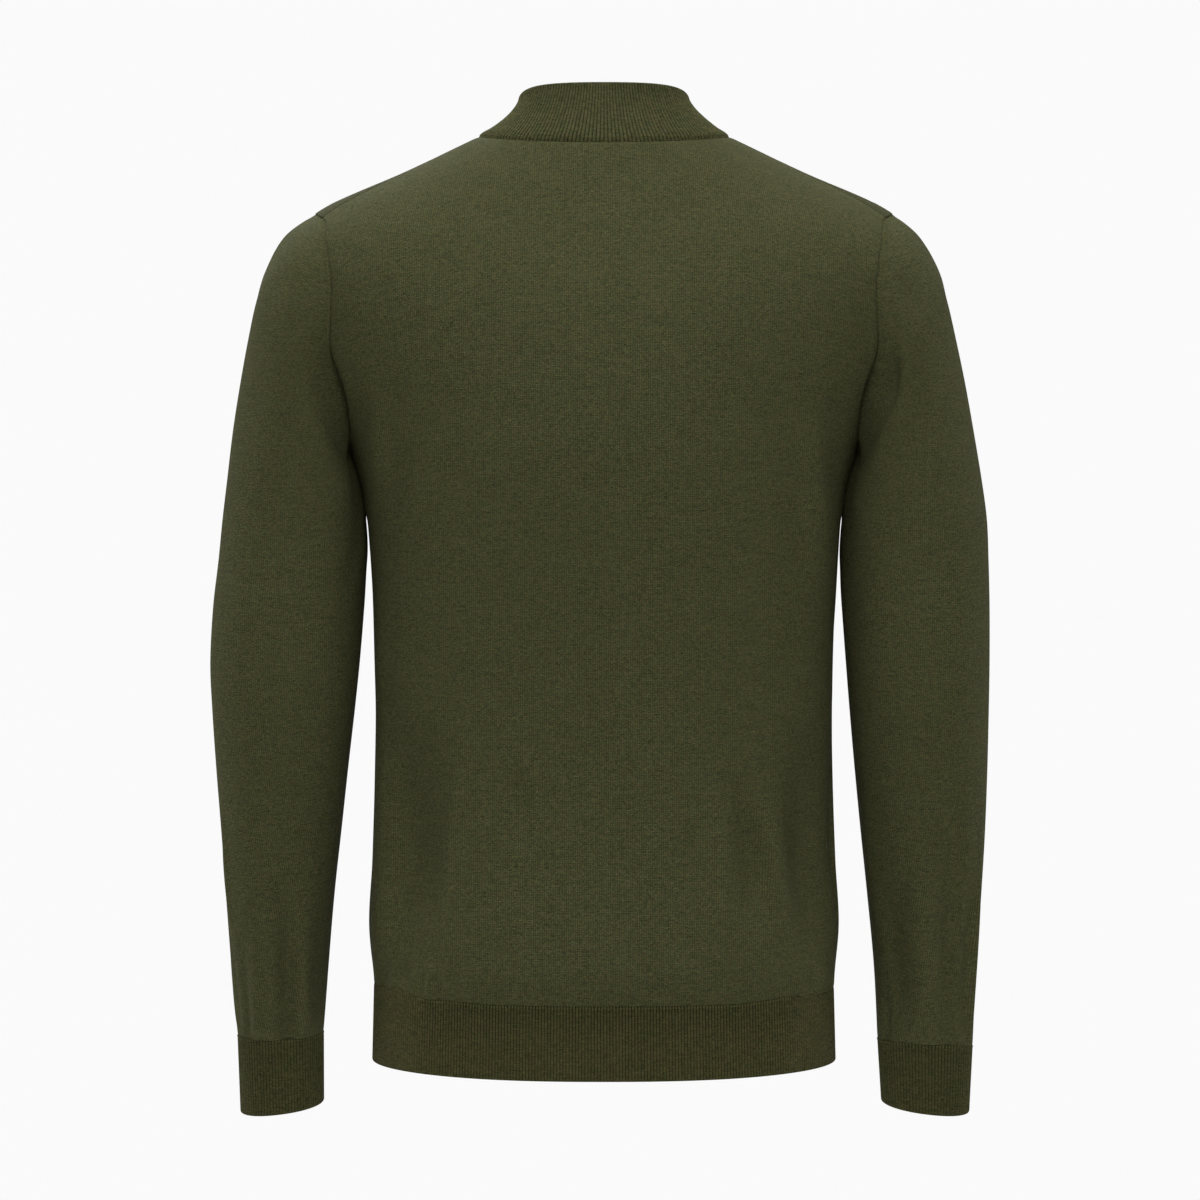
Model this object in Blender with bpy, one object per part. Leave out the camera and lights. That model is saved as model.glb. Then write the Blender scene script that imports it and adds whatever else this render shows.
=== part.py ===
"""Quarter zip sweater in fine knit, hollow and filled out as when it is worn.

Metres, +Z up. The front faces -Y and the wearer's left is +X. The origin is midway between the two points
where the collar's seam crosses the shoulders. Every piece is a wall of cloth with its own thickness. Pieces
that are sewn together share the points of their seam, and each is drawn back from it by half the seam gap.
"""

import bmesh
import bpy
import numpy as np
from mathutils import Matrix

BODY_WALL = 0.0020
BAND_WALL = 0.0022
MITRE_LIMIT = 1.5
RIM_SPLIT = (0.37, 0.21, 1.0)
SEAM_GAP = 0.0003

TINY = 1e-9

PANEL_POINTS = 24
ARMHOLE_STEPS = 12
SHOULDER_STEPS = 4
ROW_SAMPLES = 90

ARMPIT_Z = -0.230
SHOULDER_TIP_Z = -0.054
NECK_Z = 0.0
BODY_ROWS = (-0.624, -0.611, -0.590, -0.555, -0.500, -0.440, -0.380, -0.330, -0.285, -0.255)

ARMHOLE_CROWDING = 1.35
ARMHOLE_RIDGE_TURNS = 5
ARMHOLE_TOP_Y = 0.030
ARMHOLE_BACK_REACH = 0.050
ARMHOLE_FRONT_REACH = 0.056

RIB_HEIGHT = 0.0009
HEM_RIBS = 414
CUFF_RIBS = 84
COLLAR_RIBS = 184

SLIT_HALF_WIDTH = 0.0048
TAPE_INNER_X = 0.0023
TAPE_OUTER_X = 0.0120
TAPE_THICKNESS = 0.0010
TAPE_CLEARANCE = 0.0005
CHAIN_HALF_WIDTH = 0.0020
CHAIN_THICKNESS = 0.0022
CHAIN_END_CLEAR = 0.0020

SLIDER_LENGTH = 0.0110
SLIDER_HALF_WIDTH = 0.0042
SLIDER_PLATE = 0.0012
SLIDER_TOP_MARGIN = 0.0015
BRIDGE_HALF_WIDTH = 0.0017
BRIDGE_LENGTH = 0.0025
EAR_INNER_X = 0.0020
EAR_OUTER_X = 0.0027
EAR_LENGTH = 0.0036
PIN_RADIUS = 0.0007
PIN_HEIGHT = 0.0022
TAB_EYE_RADIUS = 0.0019
TAB_BORE_RADIUS = 0.0011
TAB_EYE_HALF_WIDTH = 0.0017
TAB_HALF_WIDTH = 0.0031
TAB_THICKNESS = 0.0014
TAB_LENGTH = 0.0250
TAB_SHOULDER = 0.0034
TAB_OVERLAP = 0.0005
NECK_INSET = 0.0002
ROD_SIDES = 16
PIN_SIDES = 12
EYE_SIDES = 20

KNIT_COLOUR = (0.050, 0.052, 0.022)
RIB_COLOUR = (0.036, 0.036, 0.015)
TAPE_COLOUR = (0.030, 0.031, 0.014)
METAL_COLOUR = (0.330, 0.310, 0.280)


def table(names, rows):
    """A table with one array for each named column."""
    return dict(zip(names.split(), np.array(rows, float).T))


# Rings of the torso from the hem seam up to the neck seam. Each has a height at its sides, and a half width,
# a depth, a height at the centre line and a squareness (2 is an ellipse) for its back and for its front.
# Between the armpit and the shoulder tip the armhole cuts the sides away, so the widths there are past its
# edge.
TORSO = table(
    "side_z back_width front_width back_y back_z front_y front_z back_power front_power fall",
    [
        (-0.624, 0.1687, 0.1687, 0.1060, -0.6260, -0.1140, -0.6270, 2.40, 2.40, 1.5),
        (-0.611, 0.1699, 0.1699, 0.1095, -0.6130, -0.1175, -0.6140, 2.40, 2.40, 1.5),
        (-0.583, 0.1727, 0.1727, 0.1085, -0.5845, -0.1170, -0.5850, 2.40, 2.40, 1.5),
        (-0.530, 0.1704, 0.1704, 0.1020, -0.5305, -0.1135, -0.5310, 2.40, 2.35, 1.5),
        (-0.470, 0.1684, 0.1684, 0.0990, -0.4705, -0.1120, -0.4710, 2.40, 2.35, 1.5),
        (-0.420, 0.1676, 0.1676, 0.1005, -0.4205, -0.1140, -0.4215, 2.40, 2.30, 1.5),
        (-0.360, 0.1688, 0.1688, 0.1055, -0.3615, -0.1190, -0.3625, 2.35, 2.30, 1.5),
        (-0.304, 0.1718, 0.1718, 0.1110, -0.3065, -0.1240, -0.3080, 2.30, 2.25, 1.5),
        (-0.277, 0.1742, 0.1742, 0.1135, -0.2800, -0.1260, -0.2825, 2.30, 2.25, 1.5),
        (-0.250, 0.1786, 0.1786, 0.1155, -0.2540, -0.1275, -0.2575, 2.25, 2.20, 1.5),
        (-0.230, 0.1850, 0.1850, 0.1165, -0.2350, -0.1280, -0.2390, 2.20, 2.20, 1.5),
        (-0.200, 0.1975, 0.1965, 0.1165, -0.2070, -0.1270, -0.2130, 2.10, 2.15, 1.5),
        (-0.157, 0.2270, 0.2140, 0.1140, -0.1680, -0.1235, -0.1790, 2.05, 2.15, 1.4),
        (-0.105, 0.2400, 0.2260, 0.1060, -0.1240, -0.1160, -0.1430, 2.25, 2.15, 1.3),
        (-0.080, 0.2340, 0.2245, 0.0998, -0.1040, -0.1115, -0.1285, 2.42, 2.17, 1.25),
        (-0.054, 0.2095, 0.2095, 0.0920, -0.0830, -0.1060, -0.1160, 2.60, 2.20, 1.2),
        (-0.024, 0.1435, 0.1435, 0.0775, -0.0450, -0.0920, -0.0900, 2.30, 2.10, 1.3),
        (0.000, 0.0930, 0.0930, 0.0640, -0.0105, -0.0780, -0.0680, 2.00, 2.00, 1.4),
    ],
)

# The shoulder seam lies behind the ridge of the shoulder, most at the armhole.
SHOULDER_SEAM = table(
    "side_z y",
    [
        (-0.054, 0.030),
        (-0.039, 0.018),
        (-0.024, 0.007),
        (-0.010, 0.001),
        (0.000, 0.000),
    ],
)

# Rings of the sleeves from the armhole down to the cuff seam. Each runs from a point on the outer side to
# one on the inner side, and is as deep as twice its half depth. The rings fan out round the armpit.
SLEEVE = table(
    "outer_left outer_right outer_z inner_left inner_right inner_z mid_y half_depth",
    [
        (0.2095, 0.2095, -0.0540, 0.1850, 0.1850, -0.2300, 0.0090, 0.0600),
        (0.2335, 0.2305, -0.0715, 0.1868, 0.1868, -0.2345, 0.0080, 0.0595),
        (0.2485, 0.2460, -0.0970, 0.1846, 0.1846, -0.2430, 0.0065, 0.0590),
        (0.2556, 0.2525, -0.1200, 0.1806, 0.1806, -0.2530, 0.0050, 0.0585),
        (0.2612, 0.2585, -0.1490, 0.1774, 0.1774, -0.2650, 0.0040, 0.0580),
        (0.2668, 0.2650, -0.1810, 0.1752, 0.1752, -0.2780, 0.0030, 0.0570),
        (0.2722, 0.2712, -0.2154, 0.1739, 0.1738, -0.2910, 0.0025, 0.0560),
        (0.2766, 0.2773, -0.2520, 0.1735, 0.1731, -0.3040, 0.0020, 0.0545),
        (0.2800, 0.2811, -0.2810, 0.1744, 0.1734, -0.3180, 0.0020, 0.0530),
        (0.2829, 0.2823, -0.3110, 0.1753, 0.1740, -0.3350, 0.0025, 0.0520),
        (0.2868, 0.2830, -0.3450, 0.1766, 0.1752, -0.3530, 0.0030, 0.0510),
        (0.2889, 0.2830, -0.3850, 0.1793, 0.1776, -0.3850, 0.0030, 0.0495),
        (0.2876, 0.2826, -0.4200, 0.1828, 0.1803, -0.4180, 0.0015, 0.0475),
        (0.2850, 0.2820, -0.4650, 0.1880, 0.1843, -0.4610, -0.0035, 0.0445),
        (0.2818, 0.2808, -0.5130, 0.1935, 0.1892, -0.5085, -0.0100, 0.0408),
        (0.2790, 0.2785, -0.5620, 0.1992, 0.1946, -0.5570, -0.0170, 0.0370),
        (0.2757, 0.2757, -0.6150, 0.2040, 0.2000, -0.6095, -0.0245, 0.0330),
        (0.2720, 0.2738, -0.6680, 0.2083, 0.2033, -0.6625, -0.0320, 0.0295),
    ],
)
SLEEVE_POWER = 2.15
ARMHOLE_FADE_STATIONS = 5.0
ARMHOLE_FADE_POWER = 2

CUFF = table(
    "outer_left outer_right outer_z inner_left inner_right inner_z mid_y half_depth",
    [
        (0.2720, 0.2738, -0.6680, 0.2083, 0.2033, -0.6625, -0.0320, 0.0295),
        (0.2705, 0.2720, -0.7190, 0.2085, 0.2065, -0.7115, -0.0390, 0.0280),
    ],
)

HEM = table(
    "side_z width back_y back_z front_y front_z power",
    [
        (-0.6755, 0.1700, 0.1095, -0.6805, -0.1170, -0.6815, 2.4),
        (-0.6240, 0.1687, 0.1060, -0.6260, -0.1140, -0.6270, 2.4),
    ],
)

COLLAR_TOP_HALF_WIDTH = 0.0625
COLLAR_TOP_BACK_Y = 0.0500
COLLAR_TOP_FRONT_Y = -0.0720
COLLAR_TOP_Z = 0.0336
COLLAR_TOP_DIP = 3.45
COLLAR_TOP_POWER = 2.3
COLLAR_HEIGHTS = (0.0, 0.26, 0.58, 1.0)
COLLAR_FLARE = 1.5


def read(source, column, at, key="side_z"):
    """A column read along a smooth curve through the table's points."""
    places, values = source[key], source[column]
    slopes = np.gradient(values, places)
    at = np.asarray(at, float)
    cell = np.clip(np.searchsorted(places, at, side="right") - 1, 0, len(places) - 2)
    step = places[cell + 1] - places[cell]
    share = (at - places[cell]) / step
    left = 1 - share
    start = values[cell] * (1 + 2 * share) * left**2 + slopes[cell] * step * share * left**2
    end = values[cell + 1] * share**2 * (3 - 2 * share) - slopes[cell + 1] * step * share**2 * left
    return start + end


def unit(vectors):
    return vectors / np.maximum(np.linalg.norm(vectors, axis=-1, keepdims=True), TINY)


def interpolated(places, travel, vectors):
    """Vectors given at points of travel, read at other places between them."""
    return np.stack([np.interp(places, travel, vectors[:, axis]) for axis in range(3)], axis=1)


def along(points, count):
    """Points spaced evenly along a line of points."""
    travel = np.concatenate([[0.0], np.cumsum(np.linalg.norm(np.diff(points, axis=0), axis=1))])
    return interpolated(np.linspace(0.0, travel[-1], count), travel, points)


def squircle(angle, power):
    """Across and deep shares of a rounded section, from its side at 0 to its middle at a quarter turn."""
    across, deep = np.abs(np.cos(angle)), np.abs(np.sin(angle))
    radius = (across**power + deep**power) ** (-1 / power)
    return across * radius, deep * radius


def angle_at_depth(share, power):
    return np.arctan2(share, (1 - share**power) ** (1 / power))


def angle_at_width(share, power):
    return np.pi / 2 - angle_at_depth(share, power)


def half_ring(half, side_z, angle):
    """Points of a torso ring on its +X side, from the side seam at 0 to the middle at a quarter turn."""
    width, depth, centre_z = (read(TORSO, half + name, side_z) for name in ("_width", "_y", "_z"))
    across, deep = squircle(angle, read(TORSO, half + "_power", side_z))
    z = side_z + (centre_z - side_z) * deep ** read(TORSO, "fall", side_z)
    return np.stack([width * across, depth * deep, z], axis=-1)


def armhole_turn(side_z):
    """The armhole's turn at a height: 0 at the shoulder tip, half a turn at the armpit."""
    middle, reach = (SHOULDER_TIP_Z + ARMPIT_Z) / 2, (SHOULDER_TIP_Z - ARMPIT_Z) / 2
    return np.arccos(np.clip((side_z - middle) / reach, -1, 1))


def edge_y(half, side_z):
    """Where a panel ends on a ring: the side seam, then the armhole's edge, then the shoulder seam."""
    if side_z >= SHOULDER_TIP_Z:
        return float(read(SHOULDER_SEAM, "y", side_z))
    if side_z <= ARMPIT_Z:
        return 0.0
    turn = armhole_turn(side_z)
    if half == "back":
        return ARMHOLE_TOP_Y * np.cos(turn / 2) ** 2 + ARMHOLE_BACK_REACH * np.sin(turn)
    over_ridge = max(0.0, np.cos(min(ARMHOLE_RIDGE_TURNS * turn, np.pi / 2)))
    return ARMHOLE_TOP_Y * over_ridge - ARMHOLE_FRONT_REACH * np.sin(turn)


def edge_to_centre(half, side_z, centre_x):
    """A fine line of points on a ring's +X side, from the panel's edge to a distance from the middle."""
    edge = edge_y(half, side_z)
    power, depth = read(TORSO, half + "_power", side_z), abs(read(TORSO, half + "_y", side_z))
    end = angle_at_width(centre_x / read(TORSO, half + "_width", side_z), power)
    if half == "front" and edge > 0:
        back_power, back_depth = read(TORSO, "back_power", side_z), read(TORSO, "back_y", side_z)
        lap = np.linspace(angle_at_depth(edge / back_depth, back_power), 0.0, ROW_SAMPLES // 3)
        over = half_ring("back", side_z, lap)
        return np.concatenate([over, half_ring("front", side_z, np.linspace(0.0, end, ROW_SAMPLES))[1:]])
    start = angle_at_depth(abs(edge) / depth, power)
    return half_ring(half, side_z, np.linspace(start, end, ROW_SAMPLES))


def mirrored(points):
    return points * np.array([-1.0, 1.0, 1.0])


def back_row(side_z):
    side = edge_to_centre("back", side_z, 0.0)
    return along(np.concatenate([side, mirrored(side)[-2::-1]]), PANEL_POINTS)


def front_row(side_z):
    side = along(edge_to_centre("front", side_z, SLIT_HALF_WIDTH), PANEL_POINTS // 2)
    return np.concatenate([mirrored(side), side[::-1]])


def armhole_turns():
    """The turns of the points down one side of the armhole, closest together at the shoulder tip."""
    return np.pi * (np.arange(ARMHOLE_STEPS + 1) / ARMHOLE_STEPS) ** ARMHOLE_CROWDING


def torso_heights():
    """The side heights of the rows: below the armpit, round the armhole, and along the shoulder."""
    middle, reach = (SHOULDER_TIP_Z + ARMPIT_Z) / 2, (SHOULDER_TIP_Z - ARMPIT_Z) / 2
    round_armhole = middle + reach * np.cos(armhole_turns()[::-1])
    shoulder = np.linspace(SHOULDER_TIP_Z, NECK_Z, SHOULDER_STEPS + 1)[1:]
    return np.concatenate([BODY_ROWS, round_armhole, shoulder])


def sleeve_ring_points(source, station, side, turn):
    """Points round a sleeve ring: 0 is its outer side, a quarter turn its back, half a turn its inside."""
    hand = "left" if side > 0 else "right"
    outer = np.array([source["outer_" + hand][station], 0.0, source["outer_z"][station]])
    inner = np.array([source["inner_" + hand][station], 0.0, source["inner_z"][station]])
    heights = (source["outer_z"] + source["inner_z"]) / 2
    lean = np.gradient(source["mid_y"], heights)[station]
    across, deep = squircle(turn, SLEEVE_POWER)
    across = across * np.sign(np.cos(turn))
    deep = deep * np.sign(np.sin(turn)) * source["half_depth"][station]
    points = (outer + inner) / 2 + np.outer(across, (outer - inner) / 2)
    points[:, 1] += source["mid_y"][station] + deep
    points[:, 2] -= lean * deep
    return points * np.array([side, 1.0, 1.0])


def sleeve_turns():
    """The turns of a sleeve's columns: down the back of the armhole, then up its front."""
    down = armhole_turns()
    return np.concatenate([down, 2 * np.pi - down[-2:0:-1]])


def sleeve_grid(side, armhole):
    """Rings from the cuff seam up to the armhole, whose own curve fades out over the first rings."""
    turn = sleeve_turns()
    correction = armhole - sleeve_ring_points(SLEEVE, 0, side, turn)
    rings = []
    for station in range(len(SLEEVE["mid_y"])):
        fade = max(0.0, 1 - station / ARMHOLE_FADE_STATIONS) ** ARMHOLE_FADE_POWER
        rings.append(sleeve_ring_points(SLEEVE, station, side, turn) + fade * correction)
    grid = np.array(rings[::-1])
    return grid if side > 0 else grid[:, ::-1]


def cuff_grid(side, sleeve):
    """The cuff's rows from its open end up to the sleeve's own last ring."""
    end = sleeve_ring_points(CUFF, 1, side, sleeve_turns())
    end = end if side > 0 else end[::-1]
    return np.array([end, sleeve[0]])


def armhole_curve(back, front, first, last):
    """The armhole's points on the +X side: from the shoulder tip down the back and up the front."""
    back_edge, front_edge = back[first:last + 1, 0], front[first:last + 1, -1]
    return np.concatenate([back_edge[::-1], front_edge[1:-1]])


def hem_grid(back, front):
    """The hem band's rows from its open edge up to the panels' own hem seam."""
    seam = np.concatenate([back[0, :-1], front[0, :-1]])
    turn = np.arctan2(seam[:, 1] / np.abs(HEM["back_y"][1]), seam[:, 0] / HEM["width"][1])
    across, deep = squircle(turn, HEM["power"][0])
    back_half = seam[:, 1] > 0
    depth = np.where(back_half, HEM["back_y"][0], HEM["front_y"][0])
    centre_z = np.where(back_half, HEM["back_z"][0], HEM["front_z"][0])
    x = np.sign(seam[:, 0]) * across * HEM["width"][0]
    z = HEM["side_z"][0] + (centre_z - HEM["side_z"][0]) * deep**2
    return np.array([np.stack([x, depth * deep, z], axis=1), seam])


def collar_top(base):
    """The collar's upper edge above each point of its seam, lower and lower towards the front."""
    back_half = base[:, 1] >= 0
    seam_depth = np.where(back_half, TORSO["back_y"][-1], -TORSO["front_y"][-1])
    turn = np.arctan2(np.abs(base[:, 1]) / seam_depth, np.abs(base[:, 0]) / TORSO["back_width"][-1])
    across, deep = squircle(turn, COLLAR_TOP_POWER)
    y = np.where(back_half, COLLAR_TOP_BACK_Y, COLLAR_TOP_FRONT_Y) * deep
    x = np.sign(base[:, 0]) * across * COLLAR_TOP_HALF_WIDTH
    z = COLLAR_TOP_Z - COLLAR_TOP_DIP * (COLLAR_TOP_BACK_Y - y) ** 2
    return np.stack([x, y, z], axis=1)


def collar_rows(base, heights):
    """Rows that rise from the seam and draw in quickly at first, as a linked collar does."""
    top = collar_top(base)
    rows = []
    for height in heights:
        plan = (1 - height) ** COLLAR_FLARE
        row = base + height * (top - base)
        row[:, :2] = top[:, :2] + (base - top)[:, :2] * plan
        rows.append(row)
    return np.array(rows)


def collar_grid(back, front):
    """The collar's rows from its right front end, round the back of the neck, to its left front end."""
    half = PANEL_POINTS // 2
    base = np.concatenate([front[-1, half:-1], back[-1, :-1], front[-1, :half]])
    rows = collar_rows(base, COLLAR_HEIGHTS)
    rows[:, 0, 0], rows[:, -1, 0] = SLIT_HALF_WIDTH, -SLIT_HALF_WIDTH
    return rows


def grid_slopes(grid, closed):
    """How the points change along the columns and along the rows."""
    if closed:
        wide = np.concatenate([grid[:, -1:], grid, grid[:, :1]], axis=1)
        return (wide[:, 2:] - wide[:, :-2]) / 2, np.gradient(grid, axis=0)
    return np.gradient(grid, axis=1), np.gradient(grid, axis=0)


class Piece:
    """A grid of points on a piece's outer side, columns running round the body and rows running up."""

    def __init__(self, name, grid, closed=False, wall=BODY_WALL, seams=()):
        self.name = name
        self.grid = grid
        self.closed = closed
        self.wall = wall
        self.seams = seams
        self.slope_round, self.slope_up = grid_slopes(grid, closed)
        self.normal = unit(np.cross(self.slope_round, self.slope_up))
        self.reach = np.ones(grid.shape[:2] + (1,))

    def draw_back(self):
        """Moves the sewn edges back from their seams by half the gap."""
        into_columns = unit(np.cross(self.slope_up, self.normal)) * SEAM_GAP / 2
        into_rows = unit(np.cross(self.normal, self.slope_round)) * SEAM_GAP / 2
        moved = self.grid.copy()
        if "sides" in self.seams:
            moved[:, 0] += into_columns[:, 0]
            moved[:, -1] -= into_columns[:, -1]
        if "bottom" in self.seams:
            moved[0] += into_rows[0]
        if "top" in self.seams:
            moved[-1] -= into_rows[-1]
        self.grid = moved

    def inside(self):
        return self.grid - self.normal * self.reach * self.wall


def meet_at_seams(pieces):
    """Gives the points that pieces share one normal, so that their edges are cut on the same mitre."""
    points = np.concatenate([piece.grid.reshape(-1, 3) for piece in pieces])
    normals = np.concatenate([piece.normal.reshape(-1, 3) for piece in pieces])
    _, group = np.unique(np.round(points, 6), axis=0, return_inverse=True)
    group = group.ravel()
    total = np.zeros((group.max() + 1, 3))
    np.add.at(total, group, normals)
    count = np.bincount(group)[:, None]
    mean = total / count
    reach = np.minimum(1 / np.maximum(np.linalg.norm(mean, axis=1, keepdims=True), TINY), MITRE_LIMIT)
    start = 0
    for piece in pieces:
        size = piece.grid.shape[0] * piece.grid.shape[1]
        own = group[start:start + size]
        piece.normal = unit(mean[own]).reshape(piece.grid.shape)
        piece.reach = reach[own].reshape(piece.grid.shape[:2] + (1,))
        start += size


def material(name, colour, roughness, metallic=0.0):
    made = bpy.data.materials.new(name)
    made.use_nodes = True
    shader = made.node_tree.nodes["Principled BSDF"]
    shader.inputs["Base Color"].default_value = (*colour, 1.0)
    shader.inputs["Roughness"].default_value = roughness
    shader.inputs["Metallic"].default_value = metallic
    return made


def add_object(name, points, faces, finish):
    mesh = bpy.data.meshes.new(name)
    mesh.from_pydata([tuple(point) for point in np.asarray(points)], [], faces)
    mesh.materials.append(finish)
    mesh.validate()
    made = bpy.data.objects.new(name, mesh)
    bpy.context.scene.collection.objects.link(made)
    return made


def grid_ids(rows, columns, closed, first=0):
    ids = first + np.arange(rows * columns).reshape(rows, columns)
    return np.hstack([ids, ids[:, :1]]) if closed else ids


def grid_quads(ids, cut=None):
    quads = np.stack([ids[:-1, :-1], ids[:-1, 1:], ids[1:, 1:], ids[1:, :-1]], axis=-1)
    return quads[~cut] if cut is not None else quads.reshape(-1, 4)


def rim_triangles(a, b, inward, points):
    """Two triangles across a wall's edge, split the same way on both sides of a seam."""
    if points[a] @ RIM_SPLIT > points[b] @ RIM_SPLIT:
        return [(b, a, b + inward), (a, a + inward, b + inward)]
    return [(b, a, a + inward), (b, a + inward, b + inward)]


def plain_wall(piece, finish, cut=None):
    """A wall with the same points inside and out, closed by a rim along each free edge."""
    rows, columns = piece.grid.shape[:2]
    outer = grid_quads(grid_ids(rows, columns, piece.closed), cut)
    inner = outer[:, ::-1] + rows * columns
    edges = np.concatenate([outer[:, [side, (side + 1) % 4]] for side in range(4)])
    known = {tuple(edge) for edge in edges.tolist()}
    points = np.concatenate([piece.grid.reshape(-1, 3), piece.inside().reshape(-1, 3)])
    rim = []
    for a, b in sorted(edge for edge in known if edge[::-1] not in known):
        rim += rim_triangles(a, b, rows * columns, points)
    return add_object(piece.name, points, outer.tolist() + inner.tolist() + rim, finish)


def strip_between(first, second):
    """Triangles between two lines of points with different counts, from first to second."""
    triangles = []
    first_steps, second_steps = len(first) - 1, len(second) - 1
    i = j = 0
    while i < first_steps or j < second_steps:
        first_is_behind = (i + 1) * second_steps <= (j + 1) * first_steps
        if j == second_steps or (i < first_steps and first_is_behind):
            triangles.append((first[i], first[i + 1], second[j]))
            i += 1
        else:
            triangles.append((first[i], second[j + 1], second[j]))
            j += 1
    return triangles


def ribbed_outside(piece, ribs):
    """The outer points in finer columns, every second one raised to make a rib."""
    grid, normal = piece.grid, piece.normal
    if piece.closed:
        grid = np.concatenate([grid, grid[:, :1]], axis=1)
        normal = np.concatenate([normal, normal[:, :1]], axis=1)
    place = np.linspace(0, grid.shape[1] - 1, 2 * ribs + 1)
    cell = np.minimum(place.astype(int), grid.shape[1] - 2)
    share = (place - cell)[None, :, None]
    points = grid[:, cell] * (1 - share) + grid[:, cell + 1] * share
    facing = unit(normal[:, cell] * (1 - share) + normal[:, cell + 1] * share)
    points[:, 1::2] += facing[:, 1::2] * RIB_HEIGHT
    return points[:, :-1] if piece.closed else points


def ribbed_wall(piece, ribs, finish):
    """A wall with ribs raised in its outer points over a plain inside."""
    outside, inside = ribbed_outside(piece, ribs), piece.inside()
    rows = outside.shape[0]
    outer = grid_ids(rows, outside.shape[1], piece.closed)
    inner = grid_ids(rows, inside.shape[1], piece.closed, outside.shape[0] * outside.shape[1])
    faces = grid_quads(outer).tolist() + grid_quads(inner)[:, ::-1].tolist()
    faces += [triangle[::-1] for triangle in strip_between(outer[0].tolist(), inner[0].tolist())]
    faces += strip_between(outer[-1].tolist(), inner[-1].tolist())
    if not piece.closed:
        for row in range(rows - 1):
            faces.append((outer[row, 0], outer[row + 1, 0], inner[row + 1, 0], inner[row, 0]))
            faces.append((outer[row + 1, -1], outer[row, -1], inner[row, -1], inner[row + 1, -1]))
    points = np.concatenate([outside.reshape(-1, 3), inside.reshape(-1, 3)])
    return add_object(piece.name, points, faces, finish)


def slit_cells(piece, heights):
    """The cells of the front that the zip's slit leaves out: its middle column, from the armpit up."""
    cut = np.zeros((piece.grid.shape[0] - 1, piece.grid.shape[1] - 1), bool)
    cut[np.array(heights[:-1]) >= ARMPIT_Z - TINY, PANEL_POINTS // 2 - 1] = True
    return cut


def front_points(side_z, places):
    """Points of the front's outer surface at distances from its centre line."""
    share = np.abs(places) / read(TORSO, "front_width", side_z)
    points = half_ring("front", side_z, angle_at_width(share, read(TORSO, "front_power", side_z)))
    points[:, 0] = places
    return points


def front_strip(heights, places):
    """The front's outer surface near its centre line, up to the collar's upper edge."""
    rows = [front_points(side_z, places) for side_z in heights]
    narrowing = COLLAR_TOP_HALF_WIDTH / TORSO["front_width"][-1]
    for height in COLLAR_HEIGHTS[1:]:
        plan = (1 - height) ** COLLAR_FLARE
        base = front_points(NECK_Z, places / (narrowing + (1 - narrowing) * plan))
        row = collar_rows(base, (height,))[0]
        row[:, 0] = places
        rows.append(row)
    return np.array(rows)


def zip_tape(name, side, heights, finish):
    """A strip of tape behind the slit's edge."""
    places = np.sort(side * np.array([TAPE_INNER_X, TAPE_OUTER_X]))
    tape = Piece(name, front_strip(heights, places), wall=TAPE_THICKNESS)
    tape.grid = tape.grid - tape.normal * (BAND_WALL + TAPE_CLEARANCE)
    return plain_wall(tape, finish)


def zip_line(heights):
    """The zip's centre line on the outer surface, and its outward direction at each point."""
    strip = front_strip(heights, np.array([-CHAIN_HALF_WIDTH, 0.0, CHAIN_HALF_WIDTH]))
    piece = Piece("line", strip)
    return strip[:, 1], piece.normal[:, 1]


def zip_chain(line, outward, finish):
    """The closed teeth as one strip between the tapes, from the slit's foot to the slider's bridge."""
    travel = np.concatenate([[0.0], np.cumsum(np.linalg.norm(np.diff(line, axis=0), axis=1))])
    foot = travel[1] + 2 * SEAM_GAP
    head = travel[-1] - SLIDER_TOP_MARGIN - BRIDGE_LENGTH - SEAM_GAP
    between = travel[(travel > foot + CHAIN_END_CLEAR) & (travel < head - CHAIN_END_CLEAR)]
    places = np.concatenate([[foot], between, [head]])
    centre = interpolated(places, travel, line)
    facing = unit(interpolated(places, travel, outward))
    middle = BAND_WALL + TAPE_CLEARANCE + TAPE_THICKNESS / 2
    front = centre - facing * (middle - CHAIN_THICKNESS / 2)
    side = np.array([CHAIN_HALF_WIDTH, 0.0, 0.0])
    chain = Piece("zip_chain", np.stack([front - side, front + side], axis=1), wall=CHAIN_THICKNESS)
    chain.normal = np.stack([facing, facing], axis=1)
    return plain_wall(chain, finish)


def box(name, low, high, finish):
    """A block between two corners."""
    low, high = np.array(low), np.array(high)
    frame = bmesh.new()
    place = Matrix.Translation((low + high) / 2) @ Matrix.Diagonal((*(high - low), 1))
    bmesh.ops.create_cube(frame, size=1.0, matrix=place)
    return from_bmesh(name, frame, finish)


def rod(name, radius, half_width, centre, finish, sides=ROD_SIDES):
    """A round rod along X."""
    frame = bmesh.new()
    turn = Matrix.Rotation(np.pi / 2, 4, "Y")
    bmesh.ops.create_cone(
        frame, cap_ends=True, segments=sides, radius1=radius, radius2=radius, depth=2 * half_width,
        matrix=Matrix.Translation(centre) @ turn,
    )
    return from_bmesh(name, frame, finish)


def from_bmesh(name, frame, finish):
    mesh = bpy.data.meshes.new(name)
    frame.to_mesh(mesh)
    frame.free()
    mesh.materials.append(finish)
    made = bpy.data.objects.new(name, mesh)
    bpy.context.scene.collection.objects.link(made)
    return made


def combine(target, tool, operation):
    """Joins a tool to an object, or cuts it away, and keeps the tool out of the model."""
    tool.hide_render = True
    tool.display_type = "WIRE"
    tool.parent = target.parent
    step = target.modifiers.new(operation.lower(), "BOOLEAN")
    step.operation = operation
    step.object = tool
    step.solver = "EXACT"


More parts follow.
